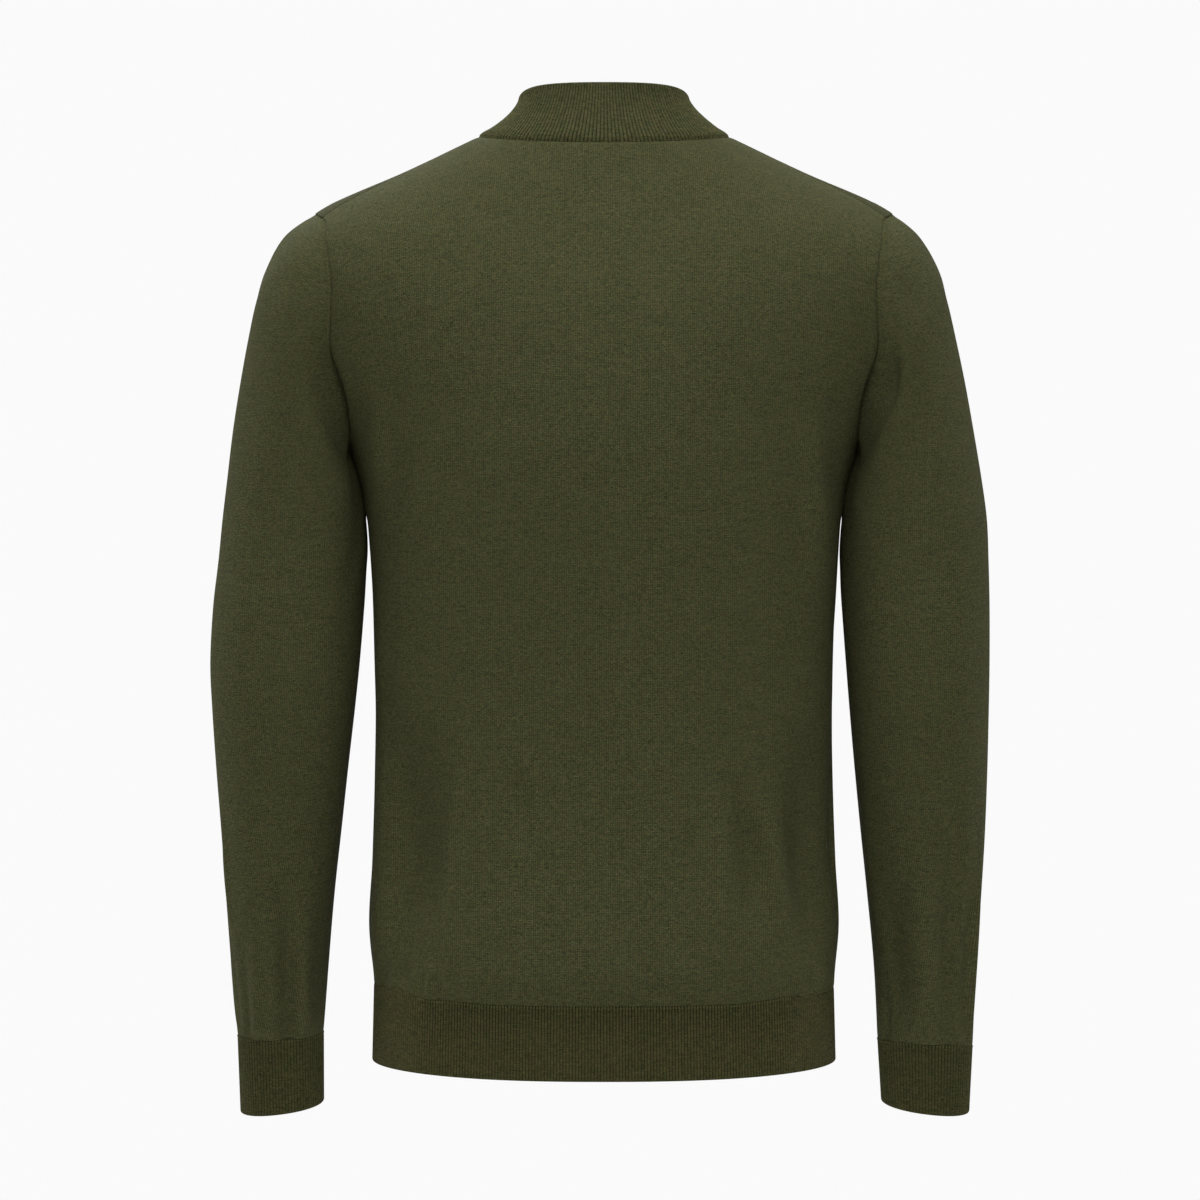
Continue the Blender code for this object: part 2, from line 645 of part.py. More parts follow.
def zip_mount(line, outward):
    """An empty at the slider: its X is the garment's X, its Y points into the cloth, its Z up the zip."""
    up = unit(line[-1] - line[-2])
    facing = unit(outward[-1] - up * np.dot(outward[-1], up))
    place = line[-1] - up * (SLIDER_TOP_MARGIN + SLIDER_LENGTH / 2)
    empty = bpy.data.objects.new("slider_place", None)
    columns = np.column_stack([np.cross(-facing, up), -facing, up, place])
    empty.matrix_world = Matrix([*columns.tolist(), (0.0, 0.0, 0.0, 1.0)])
    bpy.context.scene.collection.objects.link(empty)
    return empty


def zip_slider(empty, finish):
    """Two plates joined at the top by a bridge, with two ears and a pin that carry the pull tab."""
    middle = BAND_WALL + TAPE_CLEARANCE + TAPE_THICKNESS / 2
    front = middle - CHAIN_THICKNESS / 2 - SEAM_GAP
    back = middle + CHAIN_THICKNESS / 2 + SEAM_GAP
    half = SLIDER_LENGTH / 2
    wide = SLIDER_HALF_WIDTH
    slider = box("zip_slider", (-wide, front - SLIDER_PLATE, -half), (wide, front, half), finish)
    slider.parent = empty
    face = front - SLIDER_PLATE
    overlap = SLIDER_PLATE / 2
    parts = [
        box("slider_back", (-wide, back, -half), (wide, back + SLIDER_PLATE, half), finish),
        box(
            "slider_bridge", (-BRIDGE_HALF_WIDTH, front - overlap, half - BRIDGE_LENGTH),
            (BRIDGE_HALF_WIDTH, back + overlap, half - SEAM_GAP), finish,
        ),
    ]
    for side in (-1, 1):
        low, high = sorted((side * EAR_INNER_X, side * EAR_OUTER_X))
        parts.append(
            box(
                f"slider_ear_{side + 1}", (low, face - PIN_HEIGHT - 2 * PIN_RADIUS, -EAR_LENGTH / 2),
                (high, face + overlap, EAR_LENGTH / 2), finish,
            )
        )
    middle_of_ears = (EAR_INNER_X + EAR_OUTER_X) / 2
    axis = (0.0, face - PIN_HEIGHT, 0.0)
    parts.append(rod("slider_pin", PIN_RADIUS, middle_of_ears, axis, finish, PIN_SIDES))
    for part in parts:
        combine(slider, part, "UNION")
    return face - PIN_HEIGHT


def zip_pull_tab(empty, axis_y, finish):
    """A flat tab that hangs from an eye round the slider's pin, with its origin on the pin's axis."""
    centre = (0.0, 0.0, 0.0)
    tab = rod("zip_pull_tab", TAB_EYE_RADIUS, TAB_EYE_HALF_WIDTH, centre, finish, EYE_SIDES)
    tab.parent = empty
    tab.location = (0.0, axis_y, 0.0)
    half = TAB_THICKNESS / 2
    wide = TAB_HALF_WIDTH
    narrow = TAB_EYE_HALF_WIDTH - NECK_INSET
    neck_foot = -TAB_SHOULDER - TAB_OVERLAP
    neck = box("tab_neck", (-narrow, -half, neck_foot), (narrow, half, -TAB_BORE_RADIUS), finish)
    plate = box("tab_plate", (-wide, -half, -TAB_LENGTH), (wide, half, -TAB_SHOULDER), finish)
    bore = rod("tab_bore", TAB_BORE_RADIUS, 2 * TAB_EYE_HALF_WIDTH, centre, finish)
    for part, operation in ((neck, "UNION"), (plate, "UNION"), (bore, "DIFFERENCE")):
        combine(tab, part, operation)
        part.location = tab.location
    return tab


def clear_scene():
    for item in list(bpy.data.objects):
        bpy.data.objects.remove(item)


def build():
    clear_scene()
    heights = torso_heights()
    armpit, tip = len(BODY_ROWS), len(BODY_ROWS) + ARMHOLE_STEPS
    back_grid = np.array([back_row(side_z) for side_z in heights])
    front_grid = np.array([front_row(side_z) for side_z in heights])
    armhole = armhole_curve(back_grid, front_grid, armpit, tip)
    left = sleeve_grid(1, armhole)
    right = sleeve_grid(-1, mirrored(armhole))

    back = Piece("back_panel", back_grid, seams=("sides", "bottom", "top"))
    front = Piece("front_panel", front_grid, seams=("sides", "bottom", "top"))
    sleeves = [
        Piece("sleeve_left", left, closed=True, seams=("bottom", "top")),
        Piece("sleeve_right", right, closed=True, seams=("bottom", "top")),
    ]
    cuffs = [
        Piece("cuff_left", cuff_grid(1, left), closed=True, wall=BAND_WALL, seams=("top",)),
        Piece("cuff_right", cuff_grid(-1, right), closed=True, wall=BAND_WALL, seams=("top",)),
    ]
    hem = Piece("hem_band", hem_grid(back_grid, front_grid), closed=True, wall=BAND_WALL, seams=("top",))
    collar = Piece("collar", collar_grid(back_grid, front_grid), wall=BAND_WALL, seams=("bottom",))
    pieces = [back, front, *sleeves, *cuffs, hem, collar]
    meet_at_seams(pieces)
    for piece in pieces:
        piece.draw_back()

    plain_wall(back, material("back knit", KNIT_COLOUR, 0.9))
    plain_wall(front, material("front knit", KNIT_COLOUR, 0.9), slit_cells(front, heights))
    for sleeve in sleeves:
        plain_wall(sleeve, material(sleeve.name + " knit", KNIT_COLOUR, 0.9))
    for cuff in cuffs:
        ribbed_wall(cuff, CUFF_RIBS, material(cuff.name + " rib", RIB_COLOUR, 0.9))
    ribbed_wall(hem, HEM_RIBS, material("hem rib", RIB_COLOUR, 0.9))
    ribbed_wall(collar, COLLAR_RIBS, material("collar rib", RIB_COLOUR, 0.9))

    zip_heights = heights[armpit - 1:]
    zip_tape("zip_tape_left", 1, zip_heights, material("left tape", TAPE_COLOUR, 0.85))
    zip_tape("zip_tape_right", -1, zip_heights, material("right tape", TAPE_COLOUR, 0.85))
    line, outward = zip_line(zip_heights)
    zip_chain(line, outward, material("zip teeth", METAL_COLOUR, 0.4, 1.0))
    empty = zip_mount(line, outward)
    axis_y = zip_slider(empty, material("slider metal", METAL_COLOUR, 0.35, 1.0))
    zip_pull_tab(empty, axis_y, material("tab metal", METAL_COLOUR, 0.3, 1.0))


build()
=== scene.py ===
# Quarter zip sweater: the knit panels and sleeves, the rib bands and the zip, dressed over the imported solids.
# Metres, +Z up. The front faces -Y and the wearer's left is +X.

import bmesh
import bpy
import numpy as np
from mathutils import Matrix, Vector


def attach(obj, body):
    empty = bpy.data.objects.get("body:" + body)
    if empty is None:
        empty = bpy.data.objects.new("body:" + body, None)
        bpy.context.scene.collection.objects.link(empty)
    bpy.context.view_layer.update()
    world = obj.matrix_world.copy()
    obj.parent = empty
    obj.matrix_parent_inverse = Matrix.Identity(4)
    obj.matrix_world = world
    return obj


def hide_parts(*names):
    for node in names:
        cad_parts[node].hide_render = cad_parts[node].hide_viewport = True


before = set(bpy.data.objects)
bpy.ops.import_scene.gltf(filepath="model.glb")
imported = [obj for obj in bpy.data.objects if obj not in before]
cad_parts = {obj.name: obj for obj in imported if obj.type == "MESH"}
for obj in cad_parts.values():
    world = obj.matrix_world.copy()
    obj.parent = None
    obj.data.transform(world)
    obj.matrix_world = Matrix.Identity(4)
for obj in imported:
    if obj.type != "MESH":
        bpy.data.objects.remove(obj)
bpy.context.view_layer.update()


# numbers and curves

def tableOf(names, rows):
    # an array for each named column: millimetres become metres, and powers and falls stay bare numbers
    scales = [1 if name.endswith(("Power", "fall")) else 1000 for name in names.split()]
    return dict(zip(names.split(), (np.array(rows) / scales).T))


def cubic(values, slopes, cell, step, share):
    # from one value to the next, neighbouring pieces sharing the slope between them
    left = 1 - share
    start = values[cell] * (1 + 2 * share) * left**2 + slopes[cell] * step * share * left**2
    return start + values[cell + 1] * share**2 * (3 - 2 * share) - slopes[cell + 1] * step * share**2 * left


def readCurve(source, column, at, key="sideZ"):
    # a smooth curve through the table's points
    places, values = source[key], source[column]
    cell = np.clip(np.searchsorted(places, at, side="right") - 1, 0, len(places) - 2)
    step = places[cell + 1] - places[cell]
    return cubic(values, np.gradient(values, places), cell, step, (np.asarray(at) - places[cell]) / step)


def unit(vectors):
    return vectors / np.maximum(np.linalg.norm(vectors, axis=-1, keepdims=True), 1e-12)


def travelOf(points, axis=0):
    # distance from the first point of each line to each of its points: up the columns, or along the rows
    steps = np.linalg.norm(np.diff(points, axis=axis), axis=-1)
    return np.insert(np.cumsum(steps, axis=axis), 0, 0.0, axis=axis)


def interpolated(places, travel, vectors):
    return np.stack([np.interp(places, travel, column) for column in vectors.T], axis=1)


def crowded(count, narrowest=0.22, reach=3.0):
    # count places from 0 to 1, closer together towards both ends, where the seams are
    steps = np.arange(count - 1)
    fromEnd = np.minimum(steps, steps[::-1])
    widths = 1 - (1 - narrowest) * np.exp(-((fromEnd / reach) ** 2))
    return np.concatenate([[0.0], np.cumsum(widths)]) / widths.sum()


def alongLine(points, places):
    # the same line with its points at these shares of its length
    travel = travelOf(points)
    return interpolated(np.asarray(places) * travel[-1], travel, points)


def rejoined(points, axis=0):
    # with the first ones again after the last
    return np.concatenate([points, np.take(points, [0], axis)], axis)


def fullTurn(count):
    return np.arange(count) * 2 * np.pi / count


def rowsBetween(first, last, shares):
    # from one line straight to another
    return first + shares[:, None, None] * (last - first)


def smoothStep(values):
    # 0 below 0, 1 above 1, and 3t^2 - 2t^3 between
    t = np.clip(values, 0, 1)
    return t * t * (3 - 2 * t)


def bell(distance, width, power=2):
    return np.exp(-((distance / width) ** power))


def squircle(angle, power):
    # a rounded section, read at an angle from its side: |x|^p + |y|^p = 1
    across, deep = np.cos(angle), np.sin(angle)
    radius = (np.abs(across) ** power + np.abs(deep) ** power) ** (-1 / power)
    return across * radius, deep * radius


def angleAtDepth(share, power):
    return np.arctan2(share, (1 - share**power) ** (1 / power))


def angleAtWidth(share, power):
    return np.pi / 2 - angleAtDepth(share, power)


def gridNormals(grid, closed=False):
    # outward directions: the slope round the body crossed with the slope up it
    around = np.gradient(np.pad(grid, [(0, 0), (1, 1), (0, 0)], "wrap") if closed else grid, axis=1)
    return unit(np.cross(around[:, 1:-1] if closed else around, np.gradient(grid, axis=0)))


def mirrored(points):
    return points * np.array([-1.0, 1.0, 1.0])


foldSwell = {"overshoot": 0.12, "power": 1.5}


def softFolds(x, z, folds):
    # each fold: height, times a bell across its line, times a swell along it; bend bows the line sideways
    relief, past = np.zeros(np.shape(x)), foldSwell["overshoot"]
    for x0, z0, x1, z1, bend, width, height in folds:
        length = np.hypot(x1 - x0, z1 - z0)
        alongX, alongZ = (x1 - x0) / length, (z1 - z0) / length
        t = ((x - x0) * alongX + (z - z0) * alongZ) / length
        off = (x - x0) * alongZ - (z - z0) * alongX - bend * 4 * np.maximum(t * (1 - t), 0)
        swell = np.sin(np.pi * np.clip((t + past) / (1 + 2 * past), 0, 1)) ** foldSwell["power"]
        relief += height * bell(off, width) * swell
    return relief


# meshes

def gridQuads(ids):
    return np.stack([ids[:-1, :-1], ids[:-1, 1:], ids[1:, 1:], ids[1:, :-1]], axis=-1)


def meshFrom(name, points, faceSets, cloth=None):
    # points and one or more arrays of faces into one smooth mesh; cloth holds the UV pair of each corner
    corners = np.concatenate([faces.ravel() for faces in faceSets])
    sides = np.concatenate([np.full(len(faces), faces.shape[1]) for faces in faceSets])
    mesh = bpy.data.meshes.new(name)
    mesh.vertices.add(len(points))
    mesh.vertices.foreach_set("co", np.asarray(points, np.float32).ravel())
    mesh.loops.add(len(corners))
    mesh.loops.foreach_set("vertex_index", corners.astype(np.int32))
    mesh.polygons.add(len(sides))
    mesh.polygons.foreach_set("loop_start", (np.cumsum(sides) - sides).astype(np.int32))
    mesh.update(calc_edges=True)
    if cloth is not None:
        mesh.uv_layers.new(name="cloth").data.foreach_set("uv", np.asarray(cloth, np.float32).ravel())
    mesh.shade_smooth()
    made = bpy.data.objects.new(name, mesh)
    bpy.context.scene.collection.objects.link(made)
    return made


def gridPiece(name, grid, cloth, closed=False, looped=False, cut=None):
    # a grid of points as quads: closed joins its last column to its first, looped its last row to its first
    ids = np.arange(grid.shape[0] * grid.shape[1]).reshape(grid.shape[:2])
    ids = rejoined(ids) if looped else ids
    ids = rejoined(ids, 1) if closed else ids
    faces, corners = gridQuads(ids), gridQuads(np.arange(cloth[..., 0].size).reshape(cloth.shape[:2]))
    if cut is not None:
        faces, corners = faces[~cut], corners[~cut]
    cloth = cloth.reshape(-1, 2)[corners.reshape(-1, 4)]
    return meshFrom(name, grid.reshape(-1, 3), [faces.reshape(-1, 4)], cloth)


def thicken(piece, thickness):
    wall = piece.modifiers.new("wall", "SOLIDIFY")
    wall.thickness, wall.offset, wall.use_rim = thickness, -1.0, True


def ballFaces(rings, sides, turned=False):
    # the faces of a grid of rings between two single points: triangles round the poles, quads between
    ids = rejoined(1 + np.arange((rings - 1) * sides).reshape(rings - 1, sides), 1)
    low = np.stack([np.zeros(sides, int), ids[0, 1:], ids[0, :-1]], axis=1)
    high = np.stack([ids[-1, :-1], ids[-1, 1:], np.full(sides, ids.max() + 1)], axis=1)
    sets = [gridQuads(ids).reshape(-1, 4), low, high]
    return [faces[:, ::-1] for faces in sets] if turned else sets


def squared(value, power):
    return np.sign(value) * np.abs(value) ** power


def blob(rings, sides, power):
    # a unit ball squared off by the power: a small closed shape for teeth, stitches and metal
    tall, turn = np.meshgrid(np.linspace(-np.pi / 2, np.pi / 2, rings + 1)[1:-1], fullTurn(sides), indexing="ij")
    parts = (np.cos(turn), np.sin(turn), np.cos(tall), np.sin(tall))
    across, deep, flat, up = (squared(part, 2 / power) for part in parts)
    points = np.stack([flat * across, flat * deep, up], axis=-1).reshape(-1, 3)
    return np.vstack([[[0, 0, -1]], points, [[0, 0, 1]]]), ballFaces(rings, sides)


def manyOf(name, shape, centres, directions, sizes):
    # copies of one small shape, each with its own centre, three directions and half sizes, joined in one mesh
    points, faceSets = shape
    axes = np.stack([np.broadcast_to(way, centres.shape) for way in directions], axis=1)
    sizes = np.broadcast_to(sizes, centres.shape)
    placed = centres[:, None] + np.einsum("pk,nk,nkd->npd", points, sizes, axes)
    shift = (np.arange(len(centres)) * len(points))[:, None, None]
    way = -1 if np.linalg.det(axes[0]) < 0 else 1
    faceSets = [(faces + shift).reshape(-1, faces.shape[1])[:, ::way] for faces in faceSets]
    return meshFrom(name, placed.reshape(-1, 3), faceSets)


# the torso's cut: lengths in the tables are in millimetres, all others in metres

torsoTable = tableOf("sideZ backWidth frontWidth backY backZ frontY frontZ backPower frontPower fall", [
    (-624, 168.7, 168.7, 106, -626, -114, -627, 2.4, 2.4, 1.5),
    (-611, 169.9, 169.9, 109.5, -613, -117.5, -614, 2.4, 2.4, 1.5),
    (-583, 172.7, 172.7, 108.5, -584.5, -117, -585, 2.4, 2.4, 1.5),
    (-530, 170.4, 170.4, 102, -530.5, -113.5, -531, 2.4, 2.35, 1.5),
    (-470, 168.4, 168.4, 99, -470.5, -112, -471, 2.4, 2.35, 1.5),
    (-420, 167.6, 167.6, 100.5, -420.5, -114, -421.5, 2.4, 2.3, 1.5),
    (-360, 168.8, 168.8, 105.5, -361.5, -119, -362.5, 2.35, 2.3, 1.5),
    (-304, 171.8, 171.8, 111, -306.5, -124, -308, 2.3, 2.25, 1.5),
    (-277, 174.2, 174.2, 113.5, -280, -126, -282.5, 2.3, 2.25, 1.5),
    (-250, 178.6, 178.6, 115.5, -254, -127.5, -257.5, 2.25, 2.2, 1.5),
    (-230, 185, 185, 116.5, -235, -128, -239, 2.2, 2.2, 1.5),
    (-200, 197.5, 196.5, 116.5, -207, -127, -213, 2.1, 2.15, 1.5),
    (-157, 227, 214, 114, -168, -123.5, -179, 2.05, 2.15, 1.4),
    (-105, 240, 226, 106, -124, -116, -143, 2.25, 2.15, 1.3),
    (-80, 234, 224.5, 99.8, -104, -111.5, -128.5, 2.42, 2.17, 1.25),
    (-54, 209.5, 209.5, 92, -83, -106, -116, 2.6, 2.2, 1.2),
    (-24, 143.5, 143.5, 77.5, -45, -92, -90, 2.3, 2.1, 1.3), (0, 93, 93, 64, -10.5, -78, -68, 2, 2, 1.4),
])
shoulderSeam = tableOf("sideZ y", [(-54, 30), (-39, 18), (-24, 7), (-10, 1), (0, 0)])
torsoCut = {
    "hemZ": -0.624, "armpitZ": -0.230, "tipZ": -0.054, "neckZ": 0.0, "slitHalfWidth": 0.0048,
    "armholeCrowding": 1.35, "armholeTopY": 0.030, "backReach": 0.053, "backDraw": 0.45, "frontReach": 0.056,
    "ridgeTurns": 5, "bodyRows": 138, "armholeRows": 56, "shoulderRows": 20, "columns": 168, "rowSamples": 240,
}
armholeMiddle = (torsoCut["tipZ"] + torsoCut["armpitZ"]) / 2
armholeHalf = (torsoCut["tipZ"] - torsoCut["armpitZ"]) / 2
armholeTurns = np.pi * np.linspace(0, 1, torsoCut["armholeRows"] + 1) ** torsoCut["armholeCrowding"]


def torsoRing(half, sideZ, angle):
    # width times the squircle's share across, depth times its share deep, and a height that falls to the middle
    width, depth, middleZ = (readCurve(torsoTable, half + name, sideZ) for name in ("Width", "Y", "Z"))
    across, deep = squircle(angle, readCurve(torsoTable, half + "Power", sideZ))
    z = sideZ + (middleZ - sideZ) * deep ** readCurve(torsoTable, "fall", sideZ)
    return np.stack([width * across, depth * deep, z], axis=-1)


def edgeY(half, sideZ):
    # where a panel ends on a ring: the side seam, then the armhole's edge, then the shoulder seam
    if sideZ >= torsoCut["tipZ"]:
        return float(readCurve(shoulderSeam, "y", sideZ))
    if sideZ <= torsoCut["armpitZ"]:
        return 0.0
    turn = np.arccos(np.clip((sideZ - armholeMiddle) / armholeHalf, -1, 1))
    if half == "back":
        reach = torsoCut["backReach"] * (1 - torsoCut["backDraw"] * np.sin(turn / 2) ** 4)
        return torsoCut["armholeTopY"] * np.cos(turn / 2) ** 2 + reach * np.sin(turn)
    overRidge = max(0.0, np.cos(min(torsoCut["ridgeTurns"] * turn, np.pi / 2)))
    return torsoCut["armholeTopY"] * overRidge - torsoCut["frontReach"] * np.sin(turn)


def edgeToMiddle(half, sideZ, middleX):
    edge = edgeY(half, sideZ)
    power, depth = readCurve(torsoTable, half + "Power", sideZ), abs(readCurve(torsoTable, half + "Y", sideZ))
    end = angleAtWidth(middleX / readCurve(torsoTable, half + "Width", sideZ), power)
    samples = torsoCut["rowSamples"]
    if half == "front" and edge > 0:
        backPower, backDepth = readCurve(torsoTable, "backPower", sideZ), readCurve(torsoTable, "backY", sideZ)
        lap = torsoRing("back", sideZ, np.linspace(angleAtDepth(edge / backDepth, backPower), 0.0, samples // 3))
        return np.concatenate([lap, torsoRing("front", sideZ, np.linspace(0.0, end, samples))[1:]])
    return torsoRing(half, sideZ, np.linspace(angleAtDepth(abs(edge) / depth, power), end, samples))


def backRow(sideZ):
    side = edgeToMiddle("back", sideZ, 0.0)
    return alongLine(np.concatenate([side, mirrored(side)[-2::-1]]), crowded(torsoCut["columns"]))


def frontRow(sideZ):
    side = alongLine(edgeToMiddle("front", sideZ, torsoCut["slitHalfWidth"]), crowded(torsoCut["columns"] // 2))
    return np.concatenate([mirrored(side), side[::-1]])


heights = np.concatenate([
    torsoCut["hemZ"] + (torsoCut["armpitZ"] - torsoCut["hemZ"]) * crowded(torsoCut["bodyRows"] + 1)[:-1],
    armholeMiddle + armholeHalf * np.cos(armholeTurns[::-1]),
    torsoCut["tipZ"] + (torsoCut["neckZ"] - torsoCut["tipZ"]) * crowded(torsoCut["shoulderRows"] + 1)[1:],
])
armpitRow = torsoCut["bodyRows"]
tipRow = armpitRow + torsoCut["armholeRows"]
backGrid = np.array([backRow(sideZ) for sideZ in heights])
frontGrid = np.array([frontRow(sideZ) for sideZ in heights])
print("torso cut:", backGrid.shape, frontGrid.shape)

# folds of the back in millimetres: x and z of both ends, bow, half width and height
backFolds = np.array([
    # the long ridge at the lower left, the broad hollow beside it and its outer lip
    (97, -425, 114, -603, -3, 8.5, 4.6), (145, -425, 151, -622, 2, 27, -15), (164, -425, 165, -622, 0, 8.5, 8.8),
    (163, -340, 162, -415, 0, 4.5, 1.9),
    # the slanting folds at the lower right
    (-74, -465, -91, -595, 2, 7.5, 4.2), (-96, -470, -111, -566, 2, 8.5, -7.5),
    (-116, -485, -137, -585, -2, 10.5, 6.6), (-144, -435, -151, -605, 1, 18, -12),
    (-157, -425, -162, -600, 0, 14, -3.5),
    # long soft ones between them
    (58, -460, 57, -516, 0, 6.5, -3), (75, -295, 77, -395, 1, 8.5, -1.4), (-60, -300, -66, -420, 0, 14, -1.2),
    (12, -330, 14, -440, 3, 16, 1.2), (-30, -380, -24, -520, -3, 17, 1.2), (30, -520, 36, -610, 2, 9, 1),
    # the lips of the creases under the armholes
    (-149, -195, -160, -345, -1, 10, 5.6), (166, -180, 161, -275, 0, 8, 3.6), (150, -320, 122, -236, 4, 12, 1),
    (-128, -240, -142, -330, 2, 9, -1.8), (148, -220, 153, -310, -1, 9, -1.2),
    # puckers over the hem band
    (98, -565, 97, -626, 0, 4, 0.7), (75, -560, 77, -626, 1, 4.6, -0.8), (57, -570, 56, -626, 0, 4, 0.7),
    (35, -560, 36, -626, 1, 5, -0.8), (2, -565, 4, -626, 0, 5, 0.7), (-22, -580, -22, -626, 0, 4, -0.7),
    (-48, -570, -50, -626, 0, 4.6, 0.7), (-80, -585, -80, -626, 0, 4, -0.7), (-104, -580, -106, -626, 0, 4.4, 1),
    # gathers at the sides of the hem
    (119, -604, 120, -640, 0, 3.4, -1.4), (126, -598, 127, -640, 0, 2.6, 2.8), (132, -606, 132, -640, 0, 2.6, -2.2),
    (138, -602, 139, -640, 0, 2.6, 2.8), (146, -600, 147, -640, 0, 4.6, -3.5), (154, -604, 154, -640, 0, 2.4, 2.6),
    (161, -606, 161, -640, 0, 2.4, -1.9), (-128, -600, -130, -640, 0, 3.6, -1.4),
    (-139, -604, -140, -640, 0, 3, 2.2), (-149, -606, -149, -640, 0, 2.8, -2.4),
    (-158, -606, -159, -640, 0, 2.6, 2.3),
]) / 1000

# folds of the front, of the same kinds
frontFolds = np.array([
    (-108, -430, -124, -603, 3, 9.2, 5.5), (-136, -445, -142, -588, -2, 18.9, -10.1),
    (-160, -320, -157, -440, 1, 6.5, 3.8), (-85, -480, -94, -600, 3, 8.1, -4.6),
    (-60, -520, -63, -610, 2, 5.9, 3.6), (94, -450, 113, -610, -4, 6.5, 5.5),
    (128, -440, 141, -590, -2, 15.5, -9.4), (159, -330, 160, -450, 0, 6.5, 3.8),
    (66, -500, 72, -605, -2, 7.6, -3.6),
    # the pull under the zip's foot
    (8, -245, 12, -330, 2, 7.6, 4.2), (-10, -243, -20, -315, -2, 8.6, -3.2), (22, -250, 44, -330, 4, 9.7, -2.9),
    (-30, -330, -34, -460, 3, 14, 2.9), (40, -360, 34, -500, -3, 15.1, 2.9),
    # creases under the armholes
    (158, -300, 120, -215, 4, 11.9, 3.6), (150, -345, 104, -275, 4, 13.5, 2.9),
    (163, -260, 138, -170, 3, 8.1, -3.8), (-160, -310, -124, -222, -4, 11.9, 3.8),
    (-148, -350, -108, -285, -4, 13.5, 2.9), (-162, -255, -140, -175, -3, 7.6, -3.8),
    # drag from the collar's corners
    (30, -100, 60, -150, 3, 8.6, 2.7), (-34, -104, -66, -158, -3, 9.2, 2.7),
    # puckers and gathers over the hem band
    (-116, -585, -117, -624, 0, 4.2, -1), (-92, -580, -92, -624, 0, 4.4, 1), (-64, -588, -65, -624, 0, 4, -0.7),
    (-41, -576, -40, -624, 0, 4.4, 1), (-12, -584, -12, -624, 0, 4.2, -1), (16, -578, 17, -624, 0, 4.6, 1),
    (43, -588, 43, -624, 0, 3.8, -0.7), (70, -580, 71, -624, 0, 4.2, 1), (101, -586, 101, -624, 0, 3.8, -1.1),
    (132, -592, 133, -624, 0, 3, 2.3), (143, -596, 143, -624, 0, 2.6, -2.3), (153, -596, 154, -624, 0, 2.8, 2.5),
    (-136, -592, -137, -624, 0, 3, 2.2), (-147, -596, -147, -624, 0, 2.6, -2.2),
    (-157, -596, -158, -624, 0, 2.8, 2.3),
]) / 1000

panelCloth = {
    "wall": 0.0018, "sideDip": 0.0005, "armholeDip": 0.0008, "hemDip": 0.0002, "neckDip": 0.0004,
    "dipWidth": 0.0013, "slitRoll": 0.0009, "slitRollWidth": 0.0016, "foldFade": 0.010, "hemFold": 0.30,
    "creaseBack": 0.0075, "creaseFront": 0.0046, "creaseSpread": 0.7, "creaseTop": -0.146, "creaseFoot": -0.231,
    "topFade": 0.040, "footFade": 0.018, "pressWidth": 0.018, "pressSpare": 0.0004, "pressMost": 0.0024,
    "pressTop": -0.226, "pressFoot": -0.284, "pressFade": 0.012, "flankFrom": 0.1, "riseFade": 0.030,
}

# how far the hem's seam stands above its plain line, across the back and across the front
hemRiseBack = tableOf("x rise", [
    (-171, 0.6), (-150, 0), (-134, 0.9), (-118, -0.4), (-100, -2), (-60, -2.5), (0, -2.6), (60, -2.4), (88, -2.1),
    (108, -0.8), (130, -0.3), (141, 2), (152, 4), (171, 3.6),
])
hemRiseFront = tableOf("x rise", [
    (-171, 0.6), (-150, 1.4), (-120, -0.6), (-70, -1.9), (0, -2.3), (80, -1.8), (120, -0.4), (146, 2.6), (171, 3.6),
])
hemWave = {"at": 0.146, "width": 0.016, "height": 0.0009, "turns": 590, "start": 0.8}


def hemRise(points):
    # the seam's own rise, and a small wave where it is gathered at the sides
    x = np.clip(points[..., 0], hemRiseBack["x"][0], hemRiseBack["x"][-1])
    back, front = (readCurve(table, "rise", x, "x") for table in (hemRiseBack, hemRiseFront))
    wave = bell(np.abs(x) - hemWave["at"], hemWave["width"]) * np.sin(x * hemWave["turns"] + hemWave["start"])
    return np.where(points[..., 1] > 0, back, front) + hemWave["height"] * wave


tubeColumns = "outerLeft outerRight outerZ innerLeft innerRight innerZ midY halfDepth"
sleeveRows = [
    (209.5, 209.5, -54, 185, 185, -230, 9, 60), (233.5, 230.5, -71.5, 186.8, 186.8, -234.5, 8, 59.5),
    (248.5, 246, -97, 184.6, 184.6, -243, 6.5, 59), (255.6, 252.5, -120, 180.6, 180.6, -253, 5, 58.5),
    (261.2, 258.5, -149, 177.4, 177.4, -265, 4, 58), (266.8, 265, -181, 175.2, 175.2, -278, 3, 57),
    (272.2, 271.2, -215.4, 173.9, 173.8, -291, 2.5, 56), (276.6, 277.3, -252, 173.5, 173.1, -304, 2, 54.5),
    (280, 281.1, -281, 174.4, 173.4, -318, 2, 53), (282.9, 282.3, -311, 175.3, 174, -335, 2.5, 52),
    (286.8, 283, -345, 176.6, 175.2, -353, 3, 51), (288.9, 283, -385, 179.3, 177.6, -385, 3, 49.5),
    (287.6, 282.6, -420, 182.8, 180.3, -418, 1.5, 47.5), (285, 282, -465, 188, 184.3, -461, -3.5, 44.5),
    (281.8, 280.8, -513, 193.5, 189.2, -508.5, -10, 40.8), (279, 278.5, -562, 199.2, 194.6, -557, -17, 37),
    (275.7, 275.7, -615, 204, 200, -609.5, -24.5, 33), (272, 273.8, -668, 208.3, 203.3, -662.5, -32, 29.5),
]
sleeveTable = tableOf(tubeColumns, sleeveRows)
cuffTable = tableOf(tubeColumns, [sleeveRows[-1], (270.5, 272, -719, 208.5, 206.5, -711.5, -39, 28)])


